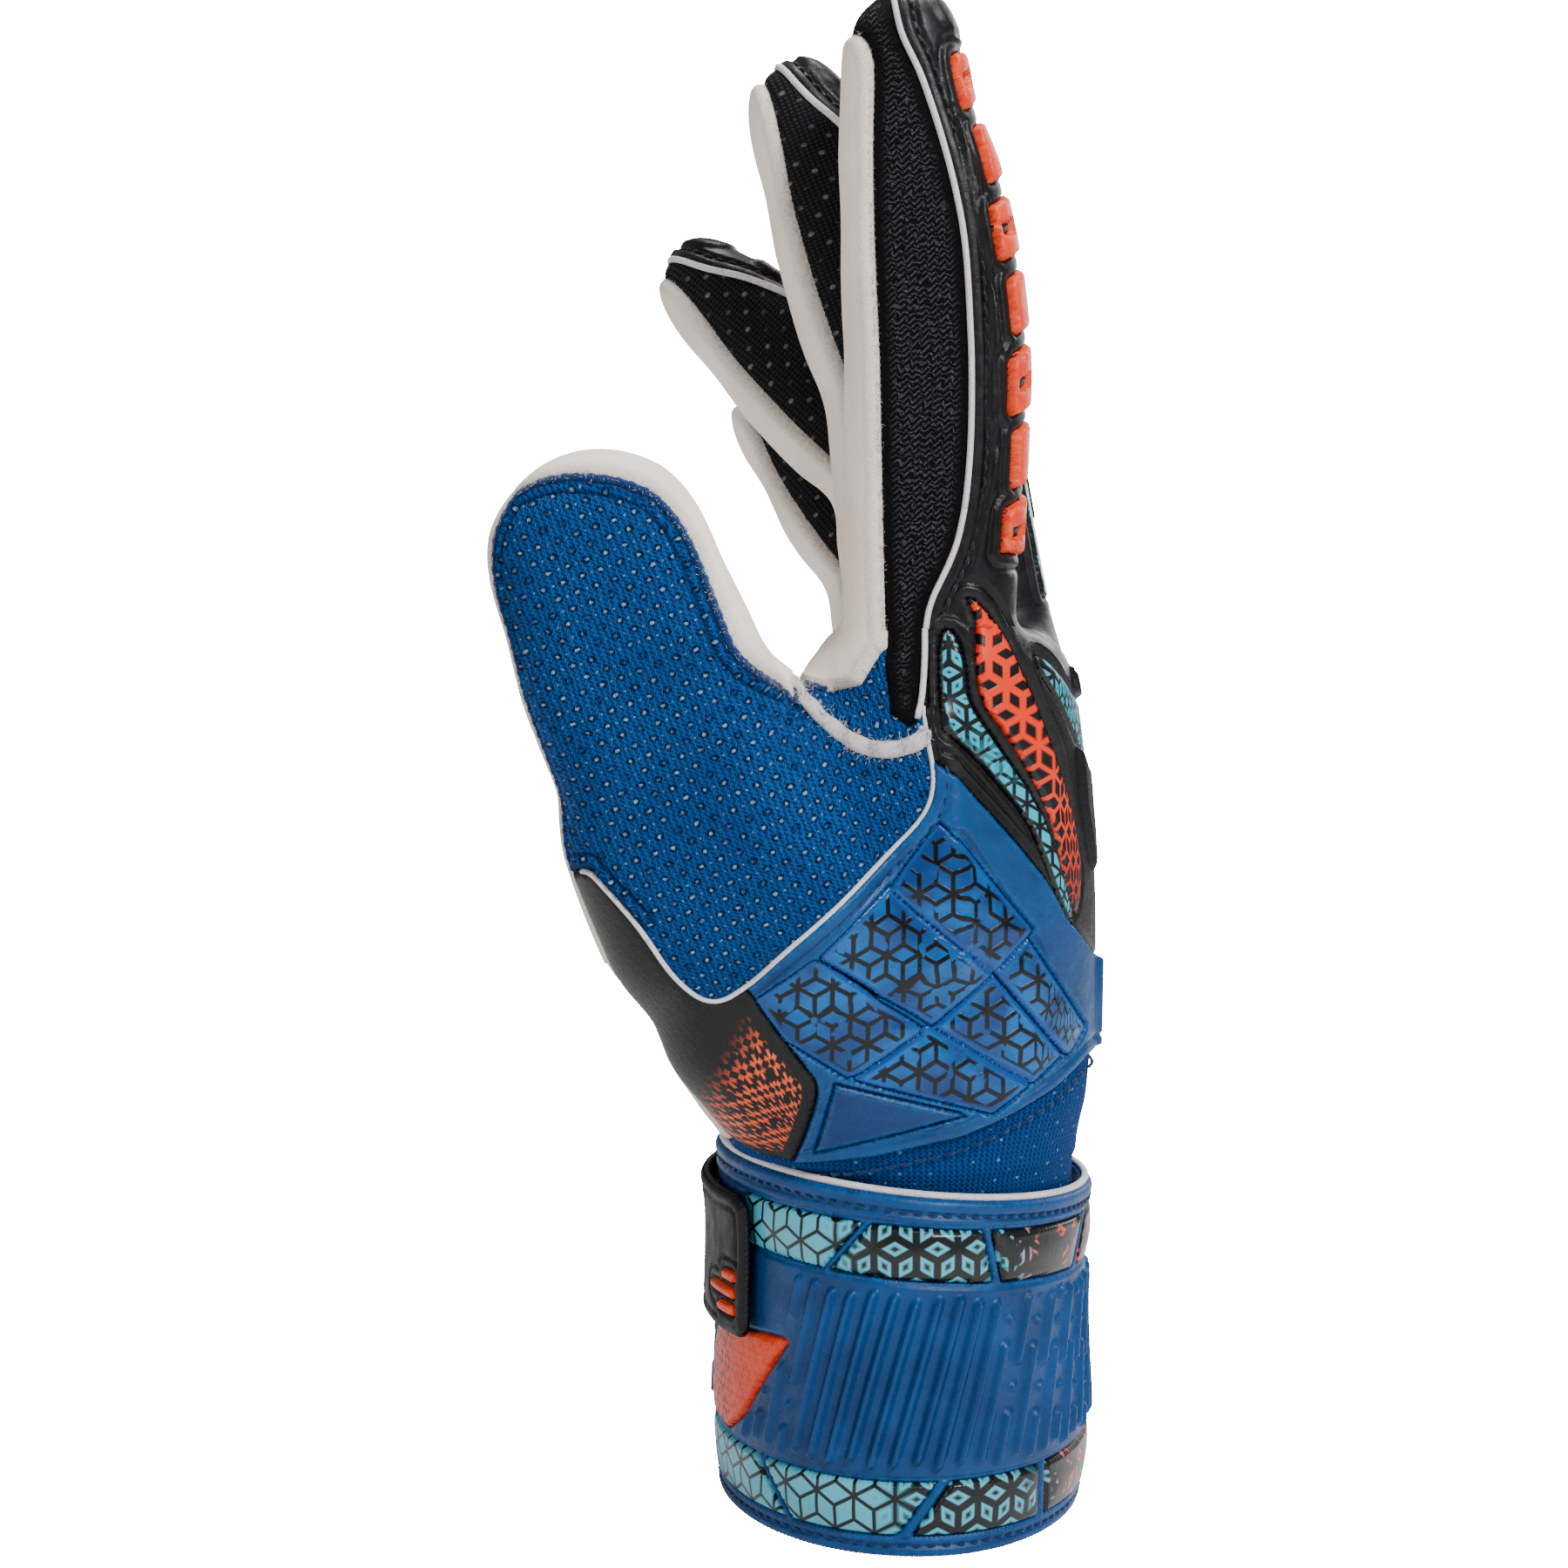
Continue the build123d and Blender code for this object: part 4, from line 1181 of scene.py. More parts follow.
# arc where it starts and ends, and how far each end leans, for the upper and the lower printed bands
UPPER_CELLS = ((-37.5, -16.3, 0, 7.4), (-15.0, 13.6, 7.6, -2.0), (15.4, 37, -2.2, 5), (39.5, 61, 5, -1.5),
               (63.5, 85, -1.5, 5), (87.5, 109, 5, -1.5))
LOWER_CELLS = ((-58, -24.5, 0, -8.0), (-22.8, -3.1, -8.1, 6.6), (-0.7, 24.5, 6.5, 0), (26.5, 48, 0, 5),
               (50.5, 72, 5, -1.5),
               (74.5, 96, -1.5, 5), (98.5, 122, 5, -1.5), (-125, -95, 0, 5), (-92.5, -60.5, 5, 0))
UPPER_BAND = (45.6, 54.4)
LOWER_BAND = (3.6, 12.4)
CUFF_ARROW = ((-23.6, 33.6), (-30, 33.2), (-58, 30.6), (-63, 22), (-58, 13.8), (-44, 13.8), (-37.0, 18.0))


def cuff_relief(p, edge):
    """Moulded ribs that lean across the band, some broken up, and the sewn hems."""
    u = round_cuff(p)
    z = p[:, 2]
    foot = u - (z - 29) * 0.27
    pitch = 3.6
    number = np.round(foot / pitch)
    off = foot - number * pitch
    low, high = 14.6 + 0.6 * np.sin(number * 2.3), 43.4 + 0.5 * np.sin(number * 1.7) + cuff_rise(p)
    bar = rounded_rect(off, z - (low + high) / 2, np.full(len(p), 1.15), (high - low) / 2, 1.1)
    main = (number >= -5) & (number <= 3)
    rib = 1.5 * smooth(-bar / 1.05)
    # beyond the main ribs the bars are broken: each has a gap and a dot at a height of its own
    gap = 19.0 + 6.0 * np.mod(number * 1.7, 3.6)
    dots = np.hypot(off, z - gap) - 0.95
    broken = np.maximum(bar, 3.4 - np.abs(z - gap))
    others = 1.0 * np.maximum(smooth(-broken / 0.9), smooth(-dots / 0.8))
    out = np.where(main, rib, np.where(np.abs(number) < 26, others, 0))
    palm = smooth((-u - 22) / 3) * smooth((z - 28) / 2)
    out *= 1 - palm
    arrow = polygon(u, z, CUFF_ARROW)
    out *= smooth((arrow - 0.8) / 1.0)
    # hems
    out -= 0.55 * ridge(cuff_top(p), -2.6, 0.8)
    out -= 0.5 * ridge(z, 2.0, 0.7)
    out += 0.35 * smooth((1.0 - z) / 1.0)
    for band, rise in ((UPPER_BAND, cuff_rise(p)), (LOWER_BAND, 0.0)):
        out -= 0.4 * ridge(z - rise, band[0] - 0.6, 0.6) + 0.4 * ridge(z - rise, band[1] + 0.6, 0.6)
    return out


CUFF = Surface(cuff_shell())
cuff_mesh = sleeve_mesh(CUFF.field, 0.0, 63.0, 250, 62)
cuff_mesh, _ = carve(cuff_mesh, cuff_top, CUFF)
cuff_panels = {}
for group, rows, band in (("upper", UPPER_CELLS, UPPER_BAND), ("lower", LOWER_CELLS, LOWER_BAND)):
    for number, (u0, u1, lean0, lean1) in enumerate(rows):
        cell, cuff_mesh = carve(cuff_mesh, slanted(u0, u1, *band, lean0, lean1), CUFF)
        cuff_panels[f"cuff_{group}_cell_{number + 1}"] = (cell, "band_cell")
arrow, cuff_mesh = carve(cuff_mesh, lambda p: polygon(round_cuff(p), p[:, 2], CUFF_ARROW), CUFF)
cuff_panels["cuff_arrow_panel"] = (arrow, "band_arrow")
cuff_panels["cuff_wrap"] = (cuff_mesh, "band")
cuff_seams = seam_samples([mesh for mesh, _ in cuff_panels.values()], [])
for name, (panel_mesh, kind) in cuff_panels.items():
    relief = cuff_relief if kind == "band" else cell_relief
    pad(name, panel_mesh, kind, cuff_seams, relief, anywhere if kind == "band" else None, CUFF)


def palm_along(p):
    """Arc length from the middle of the palm, growing to the little finger."""
    return -round_cuff(p) - HALF_ROUND / 2


def tab_relief(p, edge):
    return -0.5 * ridge(edge, 2.2, 0.7)


def tab_bars(p):
    """Negative on the plain coral bars near the tab's free end."""
    along, z = palm_along(p), p[:, 2]
    bars = [rounded_rect(along - TAB_END - 2.6 - length, z - 36.2 - 2.9 * k, length, 0.95, 0.9)
            for k, length in enumerate((3.5, 5.5, 2.5))]
    return np.minimum.reduce(bars)


def palm_patch(name, inset, outline, shape, bars=None):
    surface = Surface(cuff_shell(inset))
    mesh = sleeve_mesh(surface.field, 28.0, 61.0, 300, 32)
    mesh, _ = carve(mesh, lambda p: np.maximum(polygon(palm_along(p), p[:, 2], outline), p[:, 0] + 4),
                    surface)
    parts = [(name, mesh, shape)]
    if bars:
        raised, mesh = carve(mesh, bars, surface)
        parts = [(name, mesh, shape), ("closure_bars", raised, (1.8, 0.5, 0.45, "coral_rubber"))]
    tree = seam_samples([part[1] for part in parts], [])
    for label, part, size in parts:
        kind = "chevron" if label == "closure_bars" else "tab"
        pad(label, part, kind, tree, tab_relief if kind == "tab" else None, anywhere, surface, size)


TAB_END = -28.5
TAB_OUTLINE = ((TAB_END, 33.4), (TAB_END + 1.5, 32), (25.2, 31.4), (25.2, 57.6), (TAB_END + 3.0, 56.4),
               (TAB_END, 54.6))
ROOT_OUTLINE = ((25.8, 32), (41.5, 32.4), (43, 34), (43, 55), (41.5, 57), (25.8, 57.4))
palm_patch("closure_tab", -3.2, TAB_OUTLINE, (1.35, 1.2, 0.45, "tab_black"), tab_bars)
palm_patch("closure_root", -1.6, ROOT_OUTLINE, (1.6, 1.2, 1.4, "tab_black"))

# the knitted sleeve inside the cuff, and the lining inside the hand
INNER = Surface(cuff_shell(3.4))
inner_mesh = sleeve_mesh(INNER.field, 1.2, 58.0, 160, 20)
pad("inner_sleeve", inner_mesh, "wrist", seam_samples([inner_mesh], []), None, None, INNER,
    (0.2, 0.8, 1.2, "knit_blue"))

LINING_INSET = 2.6
lining_surface = Surface(lambda p: hand_field(p) + LINING_INSET)
net = surface_net(lining_surface.field, (-64, -60, 57), (40, 54, 140), 3.6)
lining_points = lining_surface.project(net[0], 2)
lining_faces = triangulate(lining_points, net[1])
lining, _ = carve((lining_points, lining_faces), lambda p: p[:, 2] - 136.0, lining_surface)
_, lining = carve(lining, lambda p: p[:, 2] - 59.0, lining_surface)
pad("knit_lining", lining, "lining", seam_samples([lining], []), None, None, lining_surface,
    (0.2, 0.8, 0.8, "lining"))
joined_normals()


# ---------------------------------------- seam lines, piping, stitches and raw edges


def chains_of(mesh, f, limit=0.2):
    """The border lines of a panel that lie on f's zero line, in order."""
    verts, faces = mesh
    if not len(faces):
        return []
    edges = border_edges(faces)
    on = (np.abs(f(verts[edges[:, 0]])) < limit) & (np.abs(f(verts[edges[:, 1]])) < limit)
    after = {int(a): int(b) for a, b in edges[on]}
    before = {b: a for a, b in after.items()}
    lines = []
    while after:
        start = next((a for a in after if a not in before), next(iter(after)))
        line = [start]
        while line[-1] in after:
            following = after.pop(line[-1])
            before.pop(following, None)
            line.append(following)
            if following == start:
                break
        if len(line) > 6:
            lines.append(verts[line])
    return lines


def smoothed(line, rounds=6):
    line = line.copy()
    for _ in range(rounds):
        line[1:-1] = (line[:-2] + 2 * line[1:-1] + line[2:]) / 4
    return line


def resampled(line, step):
    gaps = np.linalg.norm(np.diff(line, axis=0), axis=1)
    at = np.concatenate([[0], np.cumsum(gaps)])
    count = max(int(round(at[-1] / step)), 2)
    where = np.linspace(0, at[-1], count + 1)
    return np.stack([np.interp(where, at, line[:, k]) for k in range(line.shape[1])], 1)


def tangents(line):
    t = np.gradient(line, axis=0)
    return t / np.maximum(np.linalg.norm(t, axis=1), 1e-9)[:, None]


def beside(line, surface, aside):
    """The line moved aside over the surface."""
    for _ in range(3):
        n = surface.normal(line)
        line = line + np.cross(n, tangents(line)) * aside / 3
        line = surface.project(line, 1)
    return line


def tube(line, normals, half_width, half_height, sides=8):
    """A closed tube of oval section: (verts, faces)."""
    t = tangents(line)
    across = np.cross(normals, t)
    up = np.cross(t, across)
    angles = np.linspace(0, 2 * math.pi, sides, endpoint=False)
    rings = (line[:, None] + across[:, None] * (np.cos(angles) * half_width)[None, :, None]
             + up[:, None] * (np.sin(angles) * half_height)[None, :, None])
    verts = np.concatenate([rings.reshape(-1, 3), line[:1], line[-1:]])
    n = len(line)
    faces = []
    for i in range(n - 1):
        for k in range(sides):
            a, b = i * sides + k, i * sides + (k + 1) % sides
            faces += [(a, b, b + sides), (a, b + sides, a + sides)]
    first, last = n * sides, n * sides + 1
    for k in range(sides):
        b = (k + 1) % sides
        faces += [(first, b, k), (last, (n - 1) * sides + k, (n - 1) * sides + b)]
    return verts, np.array(faces)[:, ::-1]


def merge(parts):
    verts, faces, start = [], [], 0
    for v, f in parts:
        verts.append(v)
        faces.append(f + start)
        start += len(v)
    return np.concatenate(verts), np.concatenate(faces)


def stitches(line, normals, pitch=2.5, length=1.75, thick=0.33):
    """Short rounded threads laid end to end along a line."""
    gaps = np.linalg.norm(np.diff(line, axis=0), axis=1)
    at = np.concatenate([[0], np.cumsum(gaps)])
    parts = []
    for start in np.arange(pitch * 0.5, at[-1] - length, pitch):
        where = start + np.linspace(0, length, 6) + RNG.normal(0, 0.05)
        points = np.stack([np.interp(where, at, line[:, k]) for k in range(3)], 1)
        n = np.stack([np.interp(where, at, normals[:, k]) for k in range(3)], 1)
        arch = np.sin(np.linspace(0, math.pi, 6))
        points += n * (arch[:, None] * 0.30 - 0.18) + RNG.normal(0, 0.03, 3)
        v, f = tube(points, n, thick, thick, 6)
        ring = v[:36].reshape(6, 6, 3)
        centre = ring.mean(1, keepdims=True)
        v[:36] = (centre + (ring - centre) * (0.45 + 0.55 * arch)[:, None, None]).reshape(-1, 3)
        parts.append((v, f))
    return parts


def fibres(line, surface, spread, length, per_mm, lift=0.4, lean=None, thick=0.05):
    """Loose fibres that stand out of a cut edge."""
    gaps = np.linalg.norm(np.diff(line, axis=0), axis=1)
    at = np.concatenate([[0], np.cumsum(gaps)])
    count = int(at[-1] * per_mm)
    where = RNG.uniform(0, at[-1], count)
    base = np.stack([np.interp(where, at, line[:, k]) for k in range(3)], 1)
    n = surface.normal(base)
    t = np.stack([np.interp(where, at, tangents(line)[:, k]) for k in range(3)], 1)
    across = np.cross(n, t)
    base = base + across * RNG.normal(0, spread, count)[:, None] + n * lift
    way_out = n * RNG.uniform(0.3, 1.0, count)[:, None] + across * RNG.normal(0, 0.9, count)[:, None]
    way_out += t * RNG.normal(0, 0.6, count)[:, None]
    if lean is not None:
        way_out += across * lean
    way_out /= np.linalg.norm(way_out, axis=1)[:, None]
    long = length * RNG.uniform(0.4, 1.2, count)[:, None]
    sideways = np.cross(way_out, t)
    sideways /= np.maximum(np.linalg.norm(sideways, axis=1), 1e-6)[:, None]
    third = np.cross(way_out, sideways)
    sway, swing = RNG.normal(0, 0.35, count)[:, None], RNG.normal(0, 0.35, count)[:, None]
    curl = (sideways * sway + third * swing) * long
    corners = [sideways, -0.5 * sideways + 0.87 * third, -0.5 * sideways - 0.87 * third]
    low = [base + c * thick for c in corners]
    mid = [base + way_out * long * 0.5 + c * thick * 0.8 for c in corners]
    top = base + way_out * long + curl
    verts = np.stack(low + mid + [top], 1).reshape(-1, 3)
    shape = np.array([(0, 2, 1), (0, 1, 4), (0, 4, 3), (1, 2, 5), (1, 5, 4), (2, 0, 3), (2, 3, 5),
                      (3, 4, 6), (4, 5, 6), (5, 3, 6)])
    faces = (np.arange(count)[:, None, None] * 7 + shape[None]).reshape(-1, 3)
    return verts, faces


trims = []  # (name, kind, slot, verts, faces)


def trim(name, kind, slot, parts):
    parts = [p for p in parts if len(p[1])]
    if parts:
        trims.append((name, kind, slot, *merge(parts)))


def seam_lines(mesh, f, limit=0.3, step=0.8):
    return [resampled(smoothed(line), step) for line in chains_of(mesh, f, limit)]


def cord(line, lift, half_width, half_height):
    """A rounded cord along a line on the skin."""
    n = SKIN.normal(line)
    return tube(line + n * lift, n, half_width, half_height)


def sewn(line, aside, lift):
    """Stitches beside a seam line on the skin."""
    sew = beside(line, SKIN, aside)
    n = SKIN.normal(sew)
    return stitches(sew + n * lift, n)


def knit_back_seam(p):
    """Zero where the index finger's knit meets the back of the hand."""
    return np.where(p[:, 0] > -0.2, polygon(p[:, 0], p[:, 2], KNIT_SIDE), NO_EDGE)


for digit in FINGERS:
    index = digit.name == "index"
    for part in ("knuckle", "tip"):
        label = f"{digit.name}_{part}"
        lines = seam_lines(panels[label + "_gusset"][0], back_field(digit))
        cords = [cord(line, 0.75, 0.52 if index else 0.62, 0.8) for line in lines]
        trim(label + "_piping", "piping", "piping_white", cords)
        threads = [thread for line in lines for thread in sewn(line, -2.6, 0.62)]
        trim(label + "_stitches", "black_thread", "moulded_black", threads)
        frays = [fibres(line, SKIN, 0.3, 0.8, 5 if index else 2.5, lift=0.9, thick=0.045)
                 for line in seam_lines(panels[label + "_latex"][0], front_field(digit))]
        trim(label + "_latex_fray", "felt", "latex", frays)
for panel, piping in (("hand_mesh", "mesh_piping"), ("thumb_knuckle_mesh", "thumb_knuckle_piping")):
    cords = [cord(line, 0.55, 0.42, 0.65) for line in seam_lines(panels[panel][0], mesh_edge_field)]
    trim(piping, "piping", "piping_white", cords)
threads = []
for field, aside in ((mesh_border, 2.3), (foot_field, -2.4)):
    for line in seam_lines(panels["hand_plate"][0], field):
        threads += sewn(line, aside, 0.95)
cords = [cord(line, 0.75, 0.52, 0.75) for line in seam_lines(panels["hand_knit"][0], knit_back_seam)]
trim("hand_piping", "piping", "piping_white", cords)

# the web's raw edge, and loose fibres round the mesh and along the palm's cut edge
WEB_CREST = ((-22.0, 146.0), (-20.6, 143.6), (-17.4, 139.6), (-13.4, 136.2), (-9.0, 133.8), (-4.6, 133.2),
             (0.2, 134.6),
             (1.6, 136.6))


def on_thumb_face_at(x, z):
    """The skin's point nearest the thumb side at this x and z."""
    ys = np.linspace(-66, -20, 185)
    inside = skin_field(np.column_stack([np.full(185, x), ys, np.full(185, z)])) < 0
    return np.array([x, ys[np.argmax(inside)] if inside.any() else np.nan, z])


crest = np.array([on_thumb_face_at(x, z) for x, z in resampled(curve(WEB_CREST), 0.7)])
crest = smoothed(crest[np.isfinite(crest).all(1)], 4)
n = SKIN.normal(crest)
wavy = crest + n * (0.9 + 0.25 * np.sin(np.arange(len(crest)) * 0.9))[:, None]
felt_band = tube(wavy, n, 1.45, 0.7, 10)
trim("web_felt", "grey_fuzz", "latex", [felt_band, fibres(crest, SKIN, 0.9, 1.3, 26, lift=1.2, thick=0.05)])
for name in ("thumb_tip", "thumb_knuckle"):
    for line in chains_of(panels[name + "_mesh"][0], thumb_mesh_field, 0.3):
        line = resampled(smoothed(line, 3), 0.7)
        n = SKIN.normal(line)
        rough = line + n * (0.75 + 0.12 * np.sin(np.arange(len(line)) * 2.1 + 1.0))[:, None]
        trim(name + "_raw_edge", "blue_fuzz", "mesh_blue",
             [tube(rough, n, 0.75, 0.55, 8), fibres(line, SKIN, 0.5, 0.85, 16, lift=0.9, thick=0.05)])
        trim(name + "_latex_fray", "felt", "latex", [fibres(line, SKIN, 0.5, 0.9, 5, lift=1.1, lean=0.8,
                                                            thick=0.05)])
trim("plate_stitches", "blue_thread", "moulded_blue", threads)

# the cuff's piping and its two sewn hems
turn = np.linspace(0, 2 * math.pi, 300)
ring = np.column_stack([33 * np.cos(turn), 45 * np.sin(turn), np.zeros(300)])


def cuff_line(height):
    line = ring.copy()
    for _ in range(4):
        line[:, 2] = height(line)
        line = CUFF.project(line, 1)
    line[:, 2] = height(line)
    line[-1] = line[0]
    return line


top_line = cuff_line(lambda p: p[:, 2] - cuff_top(p))
n = CUFF.normal(top_line)
cuff_cord = tube(top_line + np.array([0, 0, 0.5]) - n * 0.2, n, 0.62, 0.66)
trim("cuff_top_piping", "piping", "piping_white", [cuff_cord])
threads = []
for height in (lambda p: p[:, 2] - cuff_top(p) - 2.6, lambda p: 2.0 + 0 * p[:, 0]):
    line = cuff_line(height)
    threads += stitches(line + CUFF.normal(line) * 0.85, CUFF.normal(line))
trim("cuff_stitches", "blue_thread", "band_blue", threads)

# ---------------------------------------- materials


DEEPEN = 1.3  # extra saturation, which the studio's white light takes back
DIM = 0.36  # how much the most colourful paints are dimmed


def srgb(r, g, b):
    """Linear colour from 0 to 255 values."""
    c = [(v / 255 / 12.92) if v <= 10 else ((v / 255 + 0.055) / 1.055) ** 2.4 for v in (r, g, b)]
    grey = 0.2126 * c[0] + 0.7152 * c[1] + 0.0722 * c[2]
    colourful = min(1.0, (max(c) - min(c)) / max(max(c), 1e-6) * 1.3)
    dim = 1 - DIM * colourful
    return tuple(max(grey + (v - grey) * DEEPEN, 0.0004) * dim for v in c) + (1.0,)


class Value:
    """A number that a material's nodes work out."""

    def __init__(self, paint, socket):
        self.paint = paint
        self.socket = socket

    def __add__(self, other):
        return self.paint.math("ADD", self, other)

    def __sub__(self, other):
        return self.paint.math("SUBTRACT", self, other)

    def __rsub__(self, other):
        return self.paint.math("SUBTRACT", other, self)

    def __mul__(self, other):
        return self.paint.math("MULTIPLY", self, other)

    def __abs__(self):
        return self.paint.math("ABSOLUTE", self)


class Paint:
    """Builds one procedural material; its lengths are the mesh's own millimetres."""

    def __init__(self, name, roughness=0.6, **sockets):
        self.material = bpy.data.materials.new(name)
        self.material.use_nodes = True
        self.tree = self.material.node_tree
        self.shader = self.tree.nodes["Principled BSDF"]
        self.shader.inputs["Roughness"].default_value = roughness
        self.shader.inputs["Specular IOR Level"].default_value = 0.22 if roughness < 0.6 else 0.08
        for socket, value in sockets.items():
            self.shader.inputs[socket.replace("_", " ")].default_value = value
        self.rest = self.read("rest")
        self.u, self.v, self.edge = self.separate("flow")

    def node(self, kind, inputs=(), **settings):
        node = self.tree.nodes.new(kind)
        for key, value in settings.items():
            setattr(node, key, value)
        for key, value in dict(inputs).items():
            self.connect(value, node.inputs[key])
        return node

    def connect(self, value, target):
        """Links a value or a colour to a socket, or sets the socket to a constant."""
        if isinstance(value, Value):
            value = value.socket
        if isinstance(value, bpy.types.NodeSocket):
            self.tree.links.new(value, target)
        else:
            target.default_value = value

    def read(self, name):
        return self.node("ShaderNodeAttribute", attribute_name=name,
                         attribute_type="GEOMETRY").outputs["Vector"]

    def separate(self, name):
        node = self.node("ShaderNodeSeparateXYZ", {0: self.read(name)})
        return [Value(self, output) for output in node.outputs]

    def math(self, operation, *values):
        return Value(self, self.node("ShaderNodeMath", enumerate(values), operation=operation).outputs[0])

    def ramp(self, value, low, high, out_low=0.0, out_high=1.0):
        node = self.node("ShaderNodeMapRange", {0: value, 1: low, 2: high, 3: out_low, 4: out_high},
                         interpolation_type="SMOOTHSTEP")
        return Value(self, node.outputs[0])

    def noise(self, scale, detail=2.0, roughness=0.5, where=None):
        node = self.node("ShaderNodeTexNoise", {"Vector": where or self.rest, "Scale": scale,
                                                "Detail": detail,
                                                "Roughness": roughness})
        return Value(self, node.outputs["Fac"])

    def vector(self, x, y, z=0.0):
        return self.node("ShaderNodeCombineXYZ", {0: x, 1: y, 2: z}).outputs[0]

    def mix(self, share, a, b):
        node = self.tree.nodes.new("ShaderNodeMix")
        node.data_type = "RGBA"
        for index, value in ((0, share), (6, a), (7, b)):
            self.connect(value, node.inputs[index])
        return node.outputs[2]

    def wave(self, value, pitch):
        """0 to 1 and back over each pitch."""
        turned = value * (2 * math.pi / pitch)
        return self.math("SINE", turned) * 0.5 + 0.5

    def cell_of(self, value, size, shift=0.0):
        """Position within a repeat, from minus half to half its size."""
        return self.math("FLOORED_MODULO", value + shift, size) - size / 2

    def dots(self, pitch_u, pitch_v, radius, u=None, v=None):
        """1 inside staggered round dots."""
        u, v = u or self.u, v or self.v
        out = None
        for shift in (0.0, 0.5):
            a = self.cell_of(u, pitch_u, shift * pitch_u)
            b = self.cell_of(v, pitch_v, shift * pitch_v)
            d = self.math("SQRT", a * a + b * b * 1.6)
            d = self.ramp(d, radius * 1.25, radius * 0.7)
            out = d if out is None else self.math("MAXIMUM", out, d)
        return out

    def blocks(self, size, width, u=None, v=None):
        """1 on the lines of a honeycomb whose cells are split in three like stacked blocks."""
        u, v = u or self.u, v or self.v
        tall = size * math.sqrt(3)
        a = (self.cell_of(u, size), self.cell_of(v, tall))
        b = (self.cell_of(u, size, size / 2), self.cell_of(v, tall, tall / 2))
        near = self.math("LESS_THAN", *(p * p + q * q for p, q in (a, b)))
        x, y = (near * i + (1.0 - near) * j for i, j in zip(a, b))
        ax, ay = (abs(x), abs(y))
        hexagon = self.math("MAXIMUM", ax, ax * 0.5 + ay * 0.866)
        line = self.ramp(size / 2 - hexagon, width * 0.62, width * 0.38)
        for k in range(3):
            angle = math.radians(90 + 120 * k)
            c, s = math.cos(angle), math.sin(angle)
            off = abs(x * s - y * c)
            front = self.math("GREATER_THAN", x * c + y * s, 0.0)
            line = self.math("MAXIMUM", line, front * self.ramp(off, width * 0.62, width * 0.38))
        return line

    def broken_blocks(self, size, width, gap):
        """Block lines with a gap wherever three of them meet."""
        corner = size / math.sqrt(3)
        out = self.blocks(size, width)
        for shift in (corner, -corner, 0.0):
            out = out * (1.0 - self.dots(size, size * math.sqrt(3), gap, None, self.v + shift))
        return out

    def outlines(self, size, outer, inner):
        """1 on a thin outline inside each block."""
        return self.blocks(size, outer) * (1.0 - self.blocks(size, inner))

    def finish(self, colour, bumps, roughness=None):
        self.connect(colour, self.shader.inputs["Base Color"])
        if roughness is not None:
            self.connect(roughness, self.shader.inputs["Roughness"])
        normal = None
        for height, distance in bumps:
            inputs = {"Height": height, "Distance": distance * 0.001, "Strength": 1.0}
            if normal is not None:
                inputs["Normal"] = normal
            normal = self.node("ShaderNodeBump", inputs).outputs[0]
        self.connect(normal, self.shader.inputs["Normal"])
        return self.material


def latex_paint(name="latex_foam", felt=False):
    m = Paint(name, 0.85, Sheen_Weight=0.12, Sheen_Roughness=0.5)
    broad = m.noise(0.05, 3)
    pores = m.noise(2.2, 3, 0.7)
    colour = m.mix(m.ramp(broad, 0.3, 0.7), srgb(238, 225, 213), srgb(248, 240, 231))
    raw = m.ramp(m.edge, 2.6, 1.0) if not felt else m.ramp(pores, 0.2, 0.6)
    colour = m.mix(raw * 0.6, colour, srgb(234, 228, 221))
    specks = m.ramp(m.noise(1.1, 4, 0.8), 0.66, 0.78)
    colour = m.mix(specks * 0.25, colour, srgb(176, 164, 152))
    bump = (m.noise(1.6, 4, 0.75) + m.noise(5.0, 2)) * (raw + 0.1)
    return m.finish(colour, [(m.noise(0.35, 2), 0.10), (bump, 0.35)])


def mesh_paint():
    m = Paint("perforated_mesh", 0.75, Sheen_Weight=0.04, Sheen_Roughness=0.45, Sheen_Tint=srgb(70, 130, 190))
    wobble = (m.noise(0.35, 2) - 0.5) * 1.1
    u, v = (m.u + wobble, m.v + wobble * 0.6)
    holes = m.dots(3.1, 4.2, 0.36, u, v)
    small = m.dots(3.1, 4.2, 0.2, u + 1.55, v)
    holes = m.math("MAXIMUM", holes, small * 0.6)
    column = m.cell_of(u, 0.95)
    stitch = m.wave(v + abs(column) * 1.5, 0.8)
    wale = m.wave(u, 0.95)
    tone = (stitch + wale) * 0.5
    colour = m.mix(tone, srgb(0, 24, 62), srgb(8, 100, 170))
    colour = m.mix(m.ramp(m.noise(0.06, 3), 0.35, 0.7) * 0.35, colour, srgb(2, 52, 102))
    patchy = m.ramp(m.noise(0.25, 3), 0.35, 0.6)
    ring = m.dots(3.1, 4.2, 0.7, u, v) * (1.0 - holes)
    colour = m.mix(ring * 0.55, colour, srgb(0, 22, 56))
    colour = m.mix(holes * patchy * 0.85, colour, srgb(150, 176, 200))
    hem = m.ramp(m.edge, 3.2, 2.8) * m.ramp(m.edge, 2.1, 2.6)
    colour = m.mix(hem * 0.75, colour, srgb(2, 28, 62))
    raw = m.ramp(m.edge, 1.8, 0.6)
    fuzz = m.noise(3.0, 4, 0.8)
    colour = m.mix(raw * m.ramp(fuzz, 0.35, 0.6), colour, srgb(4, 40, 84))
    return m.finish(colour, [(tone, 0.4), (ring, -0.4), (fuzz * raw, 0.5)])


